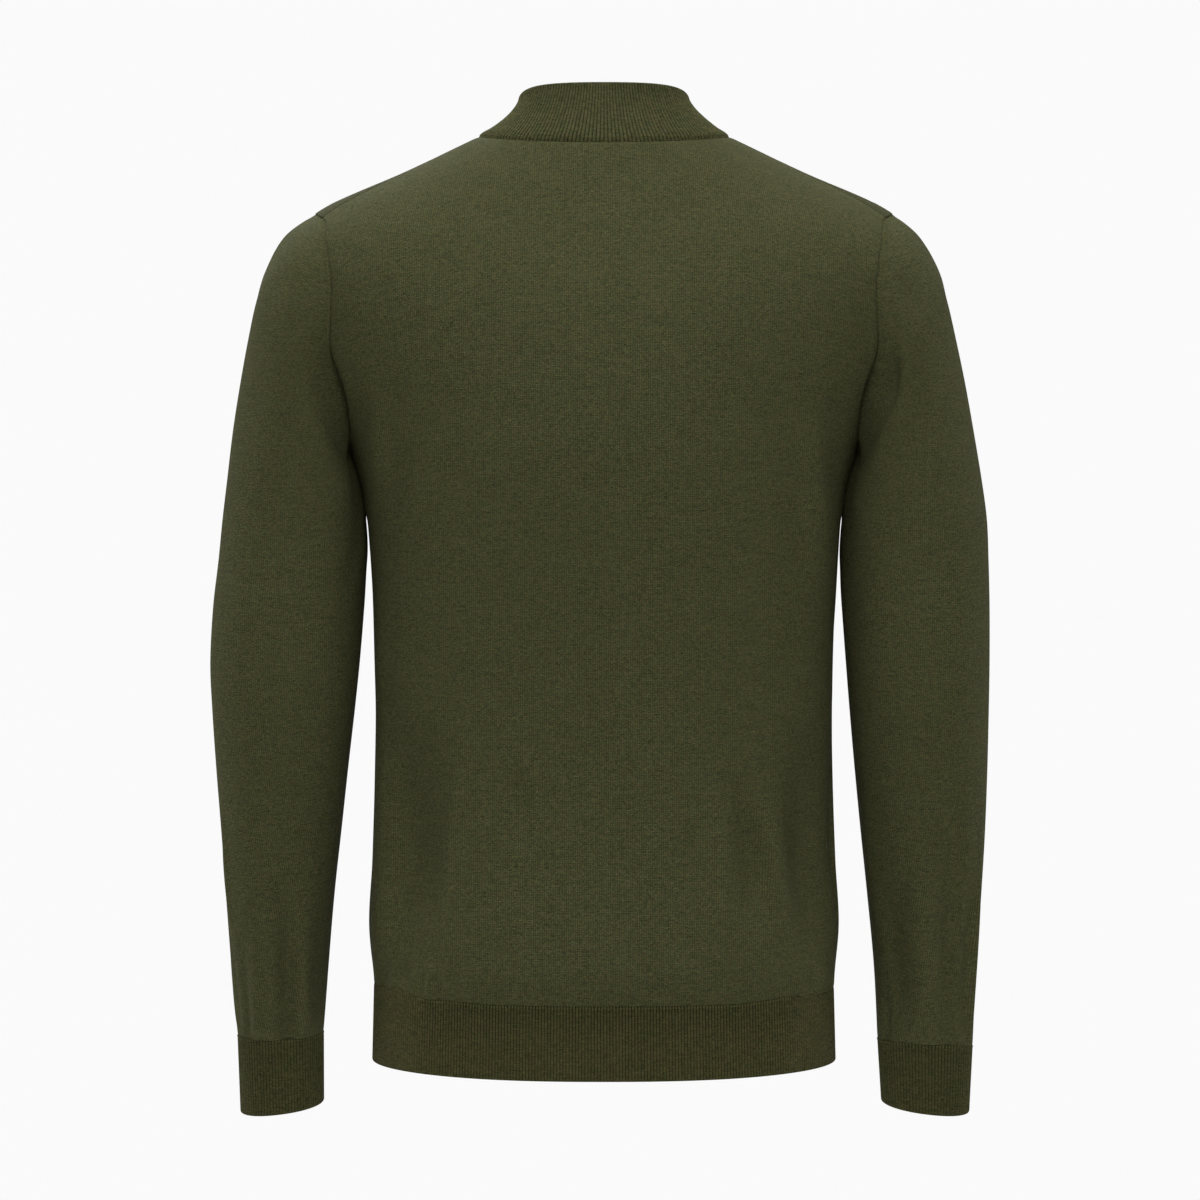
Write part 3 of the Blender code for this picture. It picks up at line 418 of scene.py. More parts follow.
def armPress(z):
    # half the gap between a sleeve's inner line and the torso's side, and a little more, down to where they part
    inner = np.interp(-z, -sleeveTable["innerZ"], sleeveTable["innerLeft"])
    half = (inner - readCurve(torsoTable, "backWidth", z)) / 2 + panelCloth["pressSpare"]
    parting = smoothStep((z - panelCloth["pressFoot"]) / panelCloth["pressFade"])
    return np.clip(half, 0, panelCloth["pressMost"]) * parting * (z < panelCloth["pressTop"])


def armholeCrease(z):
    # the sleeve folds in against the body along the lower half of the armhole
    top = smoothStep((panelCloth["creaseTop"] - z) / panelCloth["topFade"])
    return top * smoothStep((z - panelCloth["creaseFoot"]) / panelCloth["footFade"])


def dressPanel(grid, folds, slit):
    # the panel's own surface, moved along its normals by its folds and by the dips at its seams
    cloth = panelCloth
    alongRow, up = travelOf(grid, 1), travelOf(grid)
    side, down = np.minimum(alongRow, alongRow[:, -1:] - alongRow), up[-1:] - up
    armhole = np.zeros((len(grid), 1), bool)
    armhole[armpitRow:tipRow + 1] = True
    crease = cloth["creaseFront" if slit else "creaseBack"] * armholeCrease(heights)[:, None] * armhole
    relief = softFolds(grid[..., 0], grid[..., 2], folds)
    relief *= smoothStep(side / cloth["foldFade"]) * smoothStep(down / cloth["foldFade"])
    relief *= cloth["hemFold"] + (1 - cloth["hemFold"]) * smoothStep(up / cloth["foldFade"])
    sideDepth = np.where(armhole, cloth["armholeDip"], cloth["sideDip"]) + crease
    relief -= sideDepth * bell(side, cloth["dipWidth"] + crease * cloth["creaseSpread"])
    relief -= cloth["hemDip"] * bell(up, cloth["dipWidth"]) + cloth["neckDip"] * bell(down, cloth["dipWidth"])
    # the flanks swell a little where the sleeves rest on them
    flank = bell(grid[..., 1], cloth["pressWidth"]) * (np.abs(grid[..., 0]) > cloth["flankFrom"])
    relief += armPress(grid[..., 2]) * flank
    if slit:
        toSlit = np.maximum(np.abs(grid[..., 0]) - torsoCut["slitHalfWidth"], 0)
        slitRows = (heights >= torsoCut["armpitZ"])[:, None]
        relief -= slitRows * cloth["slitRoll"] * bell(toSlit, cloth["slitRollWidth"])
    dressed = grid + gridNormals(grid) * relief[..., None]
    dressed[..., 2] += hemRise(grid) * (1 - smoothStep(up / cloth["riseFade"]))
    return dressed


def panelWeave(grid):
    # cloth coordinates in metres: out from the middle along each row, and up each column
    across, middle = travelOf(grid, 1), (grid.shape[1] - 1) // 2
    centre = across[:, middle:middle + 2].mean(axis=1, keepdims=True)
    return np.stack([across - centre, travelOf(grid)], axis=-1)


backDressed, frontDressed = dressPanel(backGrid, backFolds, False), dressPanel(frontGrid, frontFolds, True)
# the two panels meet on shared points at the sides and on the shoulders
meeting = np.r_[0:armpitRow + 1, tipRow:len(heights)]
for backEnd, frontEnd in ((0, -1), (-1, 0)):
    shared = (backDressed[meeting, backEnd] + frontDressed[meeting, frontEnd]) / 2
    backDressed[meeting, backEnd] = frontDressed[meeting, frontEnd] = shared
backPanel = gridPiece("back_knit", backDressed, panelWeave(backGrid))
slitCells = np.zeros((len(heights) - 1, torsoCut["columns"] - 1), bool)
slitCells[armpitRow:, torsoCut["columns"] // 2 - 1] = True
frontPanel = gridPiece("front_knit", frontDressed, panelWeave(frontGrid), cut=slitCells)
for panel in (backPanel, frontPanel):
    thicken(panel, panelCloth["wall"])
print("panels dressed")


# sleeves

sleeveCut = {"power": 2.15, "fadeStations": 5.0, "fadePower": 2, "rowsPerStation": 12}
bothSides = (("left", 1), ("right", -1))


def sleeveRing(source, station, side, turn):
    # from the outer point to the inner one across, half the depth either way, leaning with the sleeve's middle
    hand = "Left" if side > 0 else "Right"
    ends = ([source[end + hand][station], 0.0, source[end + "Z"][station]] for end in ("outer", "inner"))
    outer, inner = (np.array(end) for end in ends)
    lean = np.gradient(source["midY"], (source["outerZ"] + source["innerZ"]) / 2)[station]
    across, deep = squircle(turn, sleeveCut["power"])
    deep = deep * source["halfDepth"][station]
    points = (outer + inner) / 2 + np.outer(across, (outer - inner) / 2)
    points[:, 1] += source["midY"][station] + deep
    points[:, 2] -= lean * deep
    return points * np.array([side, 1.0, 1.0])


def armholeLine(back, front, side):
    # the two panels' edge round an armhole: down the back from its top, then up the front
    rows, ends = slice(armpitRow, tipRow + 1), (0, -1) if side > 0 else (-1, 0)
    return np.concatenate([back[rows, ends[0]][::-1], front[rows, ends[1]][1:-1]])


def fromUnderarm(columns, side, axis=0):
    # counted from the underarm, the same way round the body on both sides
    columns = np.roll(columns, -torsoCut["armholeRows"], axis)
    return columns if side > 0 else np.flip(columns, axis)


def sleeveGrid(side):
    # rings from the cuff seam up to the armhole, whose own curve fades out over the first rings
    turn = np.concatenate([armholeTurns, 2 * np.pi - armholeTurns[-2:0:-1]])
    rings = np.array([sleeveRing(sleeveTable, station, side, turn) for station in range(len(sleeveRows))])
    fade = np.maximum(0, 1 - np.arange(len(rings)) / sleeveCut["fadeStations"]) ** sleeveCut["fadePower"]
    rings = (rings + fade[:, None, None] * (armholeLine(backGrid, frontGrid, side) - rings[0]))[::-1]
    # cubic pieces up each column, so that a few rings make a smooth tube
    place = (len(rings) - 1) * crowded((len(rings) - 1) * sleeveCut["rowsPerStation"] + 1)
    cell = np.minimum(place.astype(int), len(rings) - 2)
    grid = cubic(rings, np.gradient(rings, axis=0), cell, 1, (place - cell)[:, None, None])
    return fromUnderarm(grid, side, 1), fromUnderarm(turn, side)


# folds of a sleeve: turn in degrees (0 outside, 90 back, 180 inside, 270 front) and share of the way
# down from the armhole, of both ends, then bow, half width and height in millimetres
foldUnits = np.array([1, 1, 1, 1, 1000, 1000, 1000])
sleeveFolds = {
    "left": np.array([
        (152, 0.01, 146, 0.44, 0, 21, -1.4), (26, 0.7, 26, 0.9, 0, 3.6, 2.6), (66, 0.84, 62, 1.1, 0, 4.5, 3.4),
        (47, 0.85, 45, 1.12, 0, 5.2, -3.6), (84, 0.74, 80, 1.07, 1, 6, 5), (101, 0.78, 103, 1.1, 1, 6.5, -5),
        (121, 0.78, 121, 1.08, 1, 6.5, 4.4), (150, 0.02, 92, 0.2, 6, 10, 1.6), (160, 0.08, 118, 0.3, 5, 9, -1.6),
        (172, 0.14, 140, 0.38, 5, 9, -0.6), (40, 0.3, 70, 0.52, 6, 14, 1.9), (200, 0.3, 286, 0.4, 8, 8, 3.4),
        (196, 0.42, 292, 0.46, -6, 7.5, -2.9), (204, 0.5, 280, 0.52, 6, 8, 3.2),
        (212, 0.04, 262, 0.22, 5, 9.5, 3.2), (198, 0.1, 240, 0.3, 4, 8.5, -2.5), (262, 0.66, 240, 1.05, 4, 7, 3.5),
        (300, 0.6, 318, 0.96, 3, 8, -3.2), (330, 0.7, 344, 1.06, 2, 6.5, 2.7), (20, 0.8, 26, 1.07, 1, 5.5, -2.4),
        (74, 0.93, 77, 1, 0, 3, 1.1), (104, 0.94, 103, 1, 0, 3, -1.1), (132, 0.93, 130, 1, 0, 3.2, 1.3),
        (160, 0.94, 158, 1, 0, 3, -1), (230, 0.93, 232, 1, 0, 3.4, 1.3), (262, 0.94, 260, 1, 0, 3, -1.1),
        (294, 0.93, 296, 1, 0, 3.2, 1.1),
    ]) / foldUnits,
    "right": np.array([
        (28, 0.72, 26, 1.04, 0, 3.4, 3), (41, 0.76, 39, 1.04, 0, 5, -3.2), (146, 0.89, 144, 1.1, 0, 4.2, -3.2),
        (152, 0.01, 146, 0.46, 0, 21, -1.6), (108, 0, 74, 0.06, 3, 12, -5), (60, 0.02, 44, 0.08, 0, 16, -2.6),
        (50, 0.16, 104, 0.34, 6, 13, 1.2), (72, 0.1, 128, 0.28, 6, 13, -1), (152, 0.03, 108, 0.22, 6, 9.5, 1.6),
        (166, 0.12, 132, 0.36, 5, 9, -0.5), (98, 0.7, 88, 1.08, 2, 8.5, 6.2), (64, 0.64, 60, 1.08, 2, 9, -5.8),
        (128, 0.72, 124, 1.06, 1, 7, -2.7), (150, 0.56, 152, 0.86, 3, 8, 1.9), (198, 0.33, 284, 0.42, 8, 8, 3.4),
        (204, 0.45, 296, 0.48, -6, 8, -2.9), (196, 0.54, 276, 0.56, 6, 7.5, 2.9), (210, 0.05, 256, 0.24, 5, 9.5, 3),
        (244, 0.7, 228, 1.06, 3, 7, 3.5), (286, 0.62, 300, 0.95, 4, 8, -3.2), (322, 0.68, 338, 1.06, 2, 6.5, 2.7),
        (66, 0.94, 68, 1, 0, 3, 1), (94, 0.93, 93, 1, 0, 3.2, -1.1), (122, 0.94, 124, 1, 0, 3, 1.1),
        (150, 0.93, 148, 1, 0, 3.2, -1), (222, 0.94, 224, 1, 0, 3.2, 1.3), (252, 0.93, 250, 1, 0, 3, -1.1),
        (284, 0.94, 286, 1, 0, 3, 1.1),
    ]) / foldUnits,
}
sleeveCloth = {
    "wall": 0.0018, "cuffDip": 0.00015, "underarmDip": 0.0004, "dipWidth": 0.0013, "foldFade": 0.012,
    "cuffFold": 0.4, "meet": 0.010, "meetCrease": 0.022, "length": 0.60, "girth": 0.22,
}

# how far a cuff's seam stands above its plain line: level, then shares of the turn's cosine, sine and sine squared
cuffRise = {1: (0.0042, 0.0018, 0.0012, 0.0), -1: (-0.0023, 0.0003, 0.0016, 0.0030)}


def seamRise(turn, side):
    level, cosine, sine, sineSquared = cuffRise[side]
    return level + cosine * np.cos(turn) + sine * np.sin(turn) + sineSquared * np.sin(turn) ** 2


def dressSleeve(grid, turn, side, folds, armhole):
    # the tube moved along its normals by its folds and seams, and led to the panels' own edge at the armhole
    cloth, up = sleeveCloth, travelOf(grid)
    down, girth = up[-1:] - up, travelOf(rejoined(grid, 1), 1)[:, -1:]
    degrees = np.degrees(np.mod(turn, 2 * np.pi))
    relief = np.zeros(up.shape)
    for turn0, down0, turn1, down1, *form in folds:
        # laid out flat: metres round the tube from the fold's own start, against metres down it
        end = (turn1 - turn0) / 360 * cloth["girth"]
        fold = [(0.0, down0 * cloth["length"], end, down1 * cloth["length"], *form)]
        relief += softFolds((degrees - turn0) * girth / 360, down / up[-1:] * cloth["length"], fold)
    relief *= smoothStep(down / cloth["foldFade"])
    relief *= cloth["cuffFold"] + (1 - cloth["cuffFold"]) * smoothStep(up / cloth["foldFade"])
    underarm = np.abs(degrees - 180) * girth / 360
    relief -= cloth["cuffDip"] * bell(up, cloth["dipWidth"])
    relief -= cloth["underarmDip"] * bell(underarm, cloth["dipWidth"])
    relief += armPress(grid[..., 2]) * bell(underarm, panelCloth["pressWidth"])
    dressed = grid + gridNormals(grid, closed=True) * relief[..., None]
    dressed[..., 2] += seamRise(turn, side) * (1 - smoothStep(up / panelCloth["riseFade"]))
    reach = cloth["meet"] + cloth["meetCrease"] * armholeCrease(armhole[:, 2])
    return dressed + (armhole - dressed[-1:]) * (1 - smoothStep(down / reach))[..., None]


def sleeveWeave(grid, turn):
    # metres round from the outer line, so that the wales run straight down the arm, and metres up the tube
    ring, outer = rejoined(grid, 1), np.argmin(np.minimum(turn, 2 * np.pi - turn))
    around = travelOf(ring, 1)
    return np.stack([around - around[:, outer:outer + 1], travelOf(ring)], axis=-1)


sleeves, sleeveSurfaces = {}, {}
for hand, side in bothSides:
    grid, turn = sleeveGrid(side)
    armhole = fromUnderarm(armholeLine(backDressed, frontDressed, side), side)
    dressed = dressSleeve(grid, turn, side, sleeveFolds[hand], armhole)
    sleeves[hand] = gridPiece("sleeve_knit_" + hand, dressed, sleeveWeave(grid, turn), closed=True)
    thicken(sleeves[hand], sleeveCloth["wall"])
    sleeveSurfaces[hand] = dressed, turn
print("sleeves dressed")


# rib bands

ribKnit = {
    "height": 0.0009, "wall": 0.0022, "columnsPerRib": 6, "roundness": 0.7, "edgeRows": 6, "sunk": 0.7,
    "fade": 0.45, "fadeOver": 0.045, "stretchFade": 0.75, "smoothFrom": 0.126, "smoothOver": 0.014,
    "seamDip": 0.0002, "seamWidth": 0.0012, "tuck": 0.0010, "rowCrowding": 1.3,
}


def ribProfile(phase):
    # a round rib between narrow furrows: sine of half a turn, raised to the roundness
    return np.abs(np.sin(np.pi * phase)) ** ribKnit["roundness"]


def bandWall(outer, normals):
    # a tuck under the seam, the outer rows to the free edge, half a turn round it, and the inner rows back
    edgeWay, tuckWay = unit(outer[-1] - outer[-2]), unit(outer[0] - outer[1])
    turns = np.linspace(0, np.pi, ribKnit["edgeRows"] + 2)[1:-1, None, None]
    edge = outer[-1] + ribKnit["wall"] / 2 * (normals[-1] * (np.cos(turns) - 1) + edgeWay * np.sin(turns))
    tuck = outer[0] + ribKnit["tuck"] * (tuckWay - normals[0])
    return np.concatenate([tuck[None], outer, edge, (outer - normals * ribKnit["wall"])[::-1]])


def bandPiece(name, wall, phase, closed=True):
    # the wall's rows joined in a loop, and its columns too when the band is a tube; cloth counts its ribs
    up = travelOf(wall)
    up = np.vstack([up, up[-1:] + ribKnit["wall"]])
    if closed:
        phase, up = np.append(phase, phase[-1] + phase[1] - phase[0]), rejoined(up, 1)
    return gridPiece(name, wall, np.stack([np.broadcast_to(phase, up.shape), up], axis=-1), closed, looped=True)


def tubeBand(name, rows, ribs, stretched):
    # ribs raised along the normals, softer away from the seam and where the band is stretched
    phase = np.arange(ribs * ribKnit["columnsPerRib"]) / ribKnit["columnsPerRib"]
    normals, away = -gridNormals(rows, True), travelOf(rows)
    height = ribKnit["height"] * (1 - ribKnit["fade"] * smoothStep(away / ribKnit["fadeOver"]))
    relief = height * (1 - ribKnit["stretchFade"] * stretched) * (ribProfile(phase) - ribKnit["sunk"])
    relief -= ribKnit["seamDip"] * bell(away, ribKnit["seamWidth"])
    wall = bandWall(rows + normals * relief[..., None], normals)
    return bandPiece(name, wall, phase), (rows[0], normals[0])


hemTable = {
    "edgeZ": -0.6755, "edgeWidth": 0.1700, "edgeBackY": 0.1095, "edgeBackZ": -0.6805, "edgeFrontY": 0.1170,
    "edgeFrontZ": -0.6815, "seamWidth": 0.1687, "seamDepth": 0.1060, "power": 2.4, "ribs": 414, "rows": 16,
}


def hemEdge(seam):
    # the open edge's own squircle, at the same turn as each point of the seam
    turn = np.arctan2(seam[:, 1] / hemTable["seamDepth"], seam[:, 0] / hemTable["seamWidth"])
    across, deep = squircle(turn, hemTable["power"])
    halves = ((hemTable["edge" + half + "Y"], hemTable["edge" + half + "Z"]) for half in ("Back", "Front"))
    depth, middleZ = np.where((seam[:, 1] > 0)[:, None], *halves).T
    z = hemTable["edgeZ"] + (middleZ - hemTable["edgeZ"]) * deep**2
    return np.stack([across * hemTable["edgeWidth"], depth * deep, z], axis=1)


hemColumns = hemTable["ribs"] * ribKnit["columnsPerRib"]
hemRound = rejoined(np.concatenate([backGrid[0, :-1], frontGrid[0, :-1]]))
hemSeam = alongLine(hemRound, np.linspace(0, 1, hemColumns + 1))[:-1]
hemShares = np.linspace(0, 1, hemTable["rows"]) ** ribKnit["rowCrowding"]
rows = rowsBetween(hemSeam, hemEdge(hemSeam), hemShares)
rows[..., 2] += hemRise(hemSeam) * (1 - smoothStep(hemShares))[:, None]
hemStretched = smoothStep((np.abs(rows[..., 0]) - ribKnit["smoothFrom"]) / ribKnit["smoothOver"])
hemBand, hemLine = tubeBand("hem_rib", rows, hemTable["ribs"], hemStretched)

cuffCut = {"ribs": 84, "rows": 16, "stretched": 0.5, "samplesPerRib": 36}
cuffs, cuffLines = {}, {}
for hand, side in bothSides:
    turn = fullTurn(cuffCut["ribs"] * cuffCut["samplesPerRib"])
    seam, edge = (sleeveRing(cuffTable, station, side, turn) for station in (0, 1))
    seam[:, 2] += seamRise(turn, side)
    travel = travelOf(rejoined(seam))
    places = np.linspace(0, travel[-1], cuffCut["ribs"] * ribKnit["columnsPerRib"] + 1)[:-1]
    seam, edge = (interpolated(places, travel, rejoined(line))[::side] for line in (seam, edge))
    rows = rowsBetween(seam, edge, np.linspace(0, 1, cuffCut["rows"]) ** ribKnit["rowCrowding"])
    cuffs[hand], cuffLines[hand] = tubeBand("cuff_rib_" + hand, rows, cuffCut["ribs"], cuffCut["stretched"])

collarCut = {
    "topHalfWidth": 0.0625, "topBackY": 0.0500, "topFrontY": 0.0720, "topZ": 0.0336, "dip": 3.45, "power": 2.3,
    "flare": 1.5, "ribs": 184, "rows": 26, "rowCrowding": 1.25, "ribLow": 0.65, "ribHigh": 0.55, "highAt": 0.0058,
    "highWidth": 0.0034, "lip": 0.0002, "lipAt": 0.0026, "lipWidth": 0.0014, "seamDip": 0.0014, "seamWidth": 0.0022,
    "wave": 0.0006, "waveTurns": 70, "waveStart": 0.6, "waveBehind": -0.02, "capTurns": 3, "capShare": 0.3,
}


def collarTop(base):
    # the upper edge over each point of the seam; its height falls with the square of the way to the front
    isBack = base[:, 1] >= 0
    seamDepth = np.where(isBack, torsoTable["backY"][-1], -torsoTable["frontY"][-1])
    turn = np.arctan2(base[:, 1] / seamDepth, base[:, 0] / torsoTable["backWidth"][-1])
    across, deep = squircle(turn, collarCut["power"])
    y = np.where(isBack, collarCut["topBackY"], collarCut["topFrontY"]) * deep
    z = collarCut["topZ"] - collarCut["dip"] * (collarCut["topBackY"] - y) ** 2
    return np.stack([across * collarCut["topHalfWidth"], y, z], axis=1)


def collarRows(base, shares):
    # rises evenly, and draws in quickly at first: the plan follows (1 - height) to the flare
    top = collarTop(base)
    rows = rowsBetween(base, top, shares)
    rows[..., :2] = rowsBetween(top, base, (1 - shares) ** collarCut["flare"])[..., :2]
    return rows


def dressCollar(rows, phase):
    # as a band, upside down: the seam is the first row, and the normals already point out
    normals, away = gridNormals(rows), travelOf(rows)
    high = bell(away - collarCut["highAt"], collarCut["highWidth"])
    relief = ribKnit["height"] * ribProfile(phase) * (collarCut["ribLow"] + collarCut["ribHigh"] * high)
    relief += collarCut["lip"] * bell(away - collarCut["lipAt"], collarCut["lipWidth"])
    relief -= collarCut["seamDip"] * bell(away, collarCut["seamWidth"])
    bulge = np.sin(np.pi * away / away[-1:]) * (rows[..., 1] > collarCut["waveBehind"])
    relief += collarCut["wave"] * bulge * np.sin(rows[..., 0] * collarCut["waveTurns"] + collarCut["waveStart"])
    return rows + normals * relief[..., None], normals


def closeEnd(wall, column, way):
    # columns that bring the outer and the inner rows together round the collar's front end
    count, loop = collarCut["rows"], wall[:, column]
    outer, edge, inner = loop[1:count + 1], loop[count + 1:-count], loop[-count:][::-1]
    middle = (outer + inner) / 2
    centre = np.concatenate([middle[:1], middle, np.repeat(middle[-1:], len(edge), axis=0), middle[::-1]])
    angle = np.linspace(0, np.pi / 2, collarCut["capTurns"] + 1)[1:, None]
    step = np.array([way, 0.0, 0.0]) * np.sin(angle) * ribKnit["wall"] * collarCut["capShare"]
    return centre[:, None] + (loop - centre)[:, None] * np.cos(angle) + step


middleColumn = torsoCut["columns"] // 2
neckLine = np.concatenate([frontGrid[-1, middleColumn:-1], backGrid[-1, :-1], frontGrid[-1, :middleColumn]])
collarBase = alongLine(neckLine, np.linspace(0, 1, collarCut["ribs"] * ribKnit["columnsPerRib"] + 1))
collarPhase = np.arange(len(collarBase)) / ribKnit["columnsPerRib"]
rows = collarRows(collarBase, np.linspace(0, 1, collarCut["rows"]) ** collarCut["rowCrowding"])
rows[:, 0, 0], rows[:, -1, 0] = torsoCut["slitHalfWidth"], -torsoCut["slitHalfWidth"]
outer, normals = dressCollar(rows, collarPhase)
collarLine = outer[2], normals[2]
collarWall = bandWall(outer, normals)
collarWall = np.concatenate([closeEnd(collarWall, 0, -1)[:, ::-1], collarWall, closeEnd(collarWall, -1, 1)], axis=1)
capPhase = np.array([0.04, 0.08, 0.12])
collarPhases = np.concatenate([collarPhase[0] - capPhase[::-1], collarPhase, collarPhase[-1] + capPhase])
collar = bandPiece("collar_rib", collarWall, collarPhases, closed=False)
weld = bmesh.new()
weld.from_mesh(collar.data)
bmesh.ops.remove_doubles(weld, verts=weld.verts, dist=1e-6)  # closes the two front ends
weld.to_mesh(collar.data)
weld.free()
print("rib bands dressed")


# the zip

zipCut = {
    "footZ": -0.255, "wall": 0.0022, "clearance": 0.0005, "tape": 0.0010, "tapeInner": 0.0023, "tapeOuter": 0.0120,
    "tapeColumns": 9, "tapeShare": 0.8, "rows": 150, "collarRows": 30, "probe": 0.002, "halfStep": 0.0005,
    "toothPitch": 0.0017, "toothFrom": 0.0035, "toothTo": 0.0045, "toothAcross": 0.00075,
    "toothSize": (0.00125, 0.00098, 0.00046), "stopAt": 0.0018, "stopSize": (0.0024, 0.0011, 0.0013),
}
zipHeights = np.linspace(zipCut["footZ"], 0.0, zipCut["rows"])


def frontSurface(sideZ, places):
    share = np.abs(places) / readCurve(torsoTable, "frontWidth", sideZ)
    points = torsoRing("front", sideZ, angleAtWidth(share, readCurve(torsoTable, "frontPower", sideZ)))
    points[:, 0] = places
    return points


def frontStrip(places):
    # the front's surface near its middle, from under the slit to the collar's upper edge
    rows = [frontSurface(sideZ, places) for sideZ in zipHeights]
    narrowing = collarCut["topHalfWidth"] / torsoTable["frontWidth"][-1]
    for share in np.linspace(0, 1, zipCut["collarRows"])[1:, None]:
        plan = narrowing + (1 - narrowing) * (1 - share) ** collarCut["flare"]
        rows.append(collarRows(frontSurface(0.0, places / plan), share)[0])
        rows[-1][:, 0] = places
    return np.array(rows)


tapes = {}
for hand, side in bothSides:
    places = np.sort(side * np.linspace(zipCut["tapeInner"], zipCut["tapeOuter"], zipCut["tapeColumns"]))
    strip = frontStrip(places)
    strip = strip - gridNormals(strip) * (zipCut["wall"] + zipCut["clearance"])
    cloth = np.stack([np.broadcast_to(places, strip.shape[:2]), travelOf(strip)], axis=-1)
    tapes[hand] = gridPiece("zip_tape_cloth_" + hand, strip, cloth)
    thicken(tapes[hand], zipCut["tape"] * zipCut["tapeShare"])

zipStrip = frontStrip(zipCut["probe"] * np.array([-1, 0, 1]))
zipLine, zipOut = zipStrip[:, 1], gridNormals(zipStrip)[:, 1]
zipTravel = travelOf(zipLine)
slitFoot = np.interp(torsoCut["armpitZ"], zipHeights, zipTravel[:zipCut["rows"]])
chainDepth = zipCut["wall"] + zipCut["clearance"] + zipCut["tape"] / 2


def alongZip(name, shape, places, across, out, sizes):
    # small shapes at places along the zip, moved across it and out from the cloth's surface
    steps = (0, zipCut["halfStep"], -zipCut["halfStep"])
    centres, ahead, behind = (interpolated(places + step, zipTravel, zipLine) for step in steps)
    facing, sideways = unit(interpolated(places, zipTravel, zipOut)), np.array([1.0, 0.0, 0.0])
    centres = centres + facing * out + sideways * np.reshape(across, (-1, 1))
    return manyOf(name, shape, centres, (sideways, facing, unit(ahead - behind)), sizes)


toothPlaces = np.arange(slitFoot + zipCut["toothFrom"], zipTravel[-1] - zipCut["toothTo"], zipCut["toothPitch"] / 2)
toothAcross = zipCut["toothAcross"] * (1.0 - 2.0 * (np.arange(len(toothPlaces)) % 2))
teeth = alongZip("zip_teeth", blob(6, 8, 4.5), toothPlaces, toothAcross, -chainDepth, zipCut["toothSize"])
stopPlaces = np.array([slitFoot + zipCut["stopAt"]])
stop = alongZip("zip_bottom_stop", blob(10, 16, 5), stopPlaces, 0, -chainDepth, zipCut["stopSize"])
print("zip teeth:", len(toothPlaces))

# the slider's own frame: its pin, and directions across, into the cloth and up the zip
sliderPin, lean = np.array([0.0, -0.074135, -0.024605]), 0.07723
sliderAxes = np.array([[1.0, 0.0, 0.0], [0.0, np.cos(lean), -np.sin(lean)], [0.0, np.sin(lean), np.cos(lean)]])
sliderParts = np.array([
    # rounded blocks in millimetres: centre and half sizes of the two plates, the post between them, the two lugs,
    # the pin and the two flanges
    (0, 2.8, 0, 4, 0.6, 5.2), (0, 6.8, 0, 4, 0.6, 5.2), (0, 4.8, 4.2, 1.6, 2.4, 1.1),
    (-2.4, 0.7, 0, 0.36, 2.3, 1.7), (2.4, 0.7, 0, 0.36, 2.3, 1.7), (0, 0, 0, 2.5, 0.68, 0.68),
    (-3.6, 4.6, -2.4, 0.5, 1.1, 2.6), (3.6, 4.6, -2.4, 0.5, 1.1, 2.6),
]) / 1000
sliderCentres = sliderPin + sliderParts[:, :3] @ sliderAxes
slider = manyOf("slider_metal", blob(14, 24, 4.0), sliderCentres, sliderAxes, sliderParts[:, 3:])

tabCut = {
    "ringRadius": 0.0015, "ringThick": 0.00040, "ringHalfWidth": 0.00165, "ringSteps": 40, "ringSides": 12,
    "ringPower": 0.6, "halfWidth": 0.0031, "halfThickness": 0.0007, "top": -0.0019, "foot": -0.0250, "rows": 60,
    "sides": 32, "power": 5.0, "waist": 0.38, "waistReach": 0.16, "edge": 0.35, "dish": 0.34, "dishAt": 0.58,
    "dishLength": 0.26, "dishWidth": 0.62,
}


def ringPoints():
    # a ring about the pin: a squared tube carried round a circle
    steps, sides = tabCut["ringSteps"], tabCut["ringSides"]
    turn, tube = np.meshgrid(fullTurn(steps), fullTurn(sides), indexing="ij")
    distance = tabCut["ringRadius"] + tabCut["ringThick"] * squared(np.cos(tube), tabCut["ringPower"])
    side = tabCut["ringHalfWidth"] * squared(np.sin(tube), tabCut["ringPower"])
    points = np.stack([side, -distance * np.sin(turn), -distance * np.cos(turn)], axis=-1)
    ids = rejoined(rejoined(np.arange(steps * sides).reshape(steps, sides)), 1)
    return points.reshape(-1, 3), gridQuads(ids).reshape(-1, 4)


def platePoints():
    # a flat bar with round corners, waisted near its eye and dished on its two faces
    top, foot = tabCut["top"], tabCut["foot"]
    share = np.linspace(0, 1, tabCut["rows"] + 1)[1:-1]
    down, turn = np.meshgrid(share, fullTurn(tabCut["sides"]), indexing="ij")
    end = (1 - np.abs(2 * down - 1) ** 6) ** (1 / 4)
    across, deep = squircle(turn, tabCut["power"])
    dish = bell(down - tabCut["dishAt"], tabCut["dishLength"], 4) * bell(across, tabCut["dishWidth"], 6)
    x = tabCut["halfWidth"] * (1 - tabCut["waist"] * bell(down, tabCut["waistReach"])) * end * across
    thick = tabCut["halfThickness"] * (tabCut["edge"] + (1 - tabCut["edge"]) * end)
    points = np.stack([x, thick * deep * (1 - tabCut["dish"] * dish), top + (foot - top) * down], axis=-1)
    faces = ballFaces(tabCut["rows"], tabCut["sides"], turned=True)
    return np.vstack([[[0, 0, top]], points.reshape(-1, 3), [[0, 0, foot]]]), faces


ring, ringFaces = ringPoints()
plate, plateFaces = platePoints()
tabFaces = [ringFaces, *(faces + len(ring) for faces in plateFaces)]
pullTab = meshFrom("pull_tab_metal", sliderPin + np.concatenate([ring, plate]) @ sliderAxes, tabFaces)


# sewing

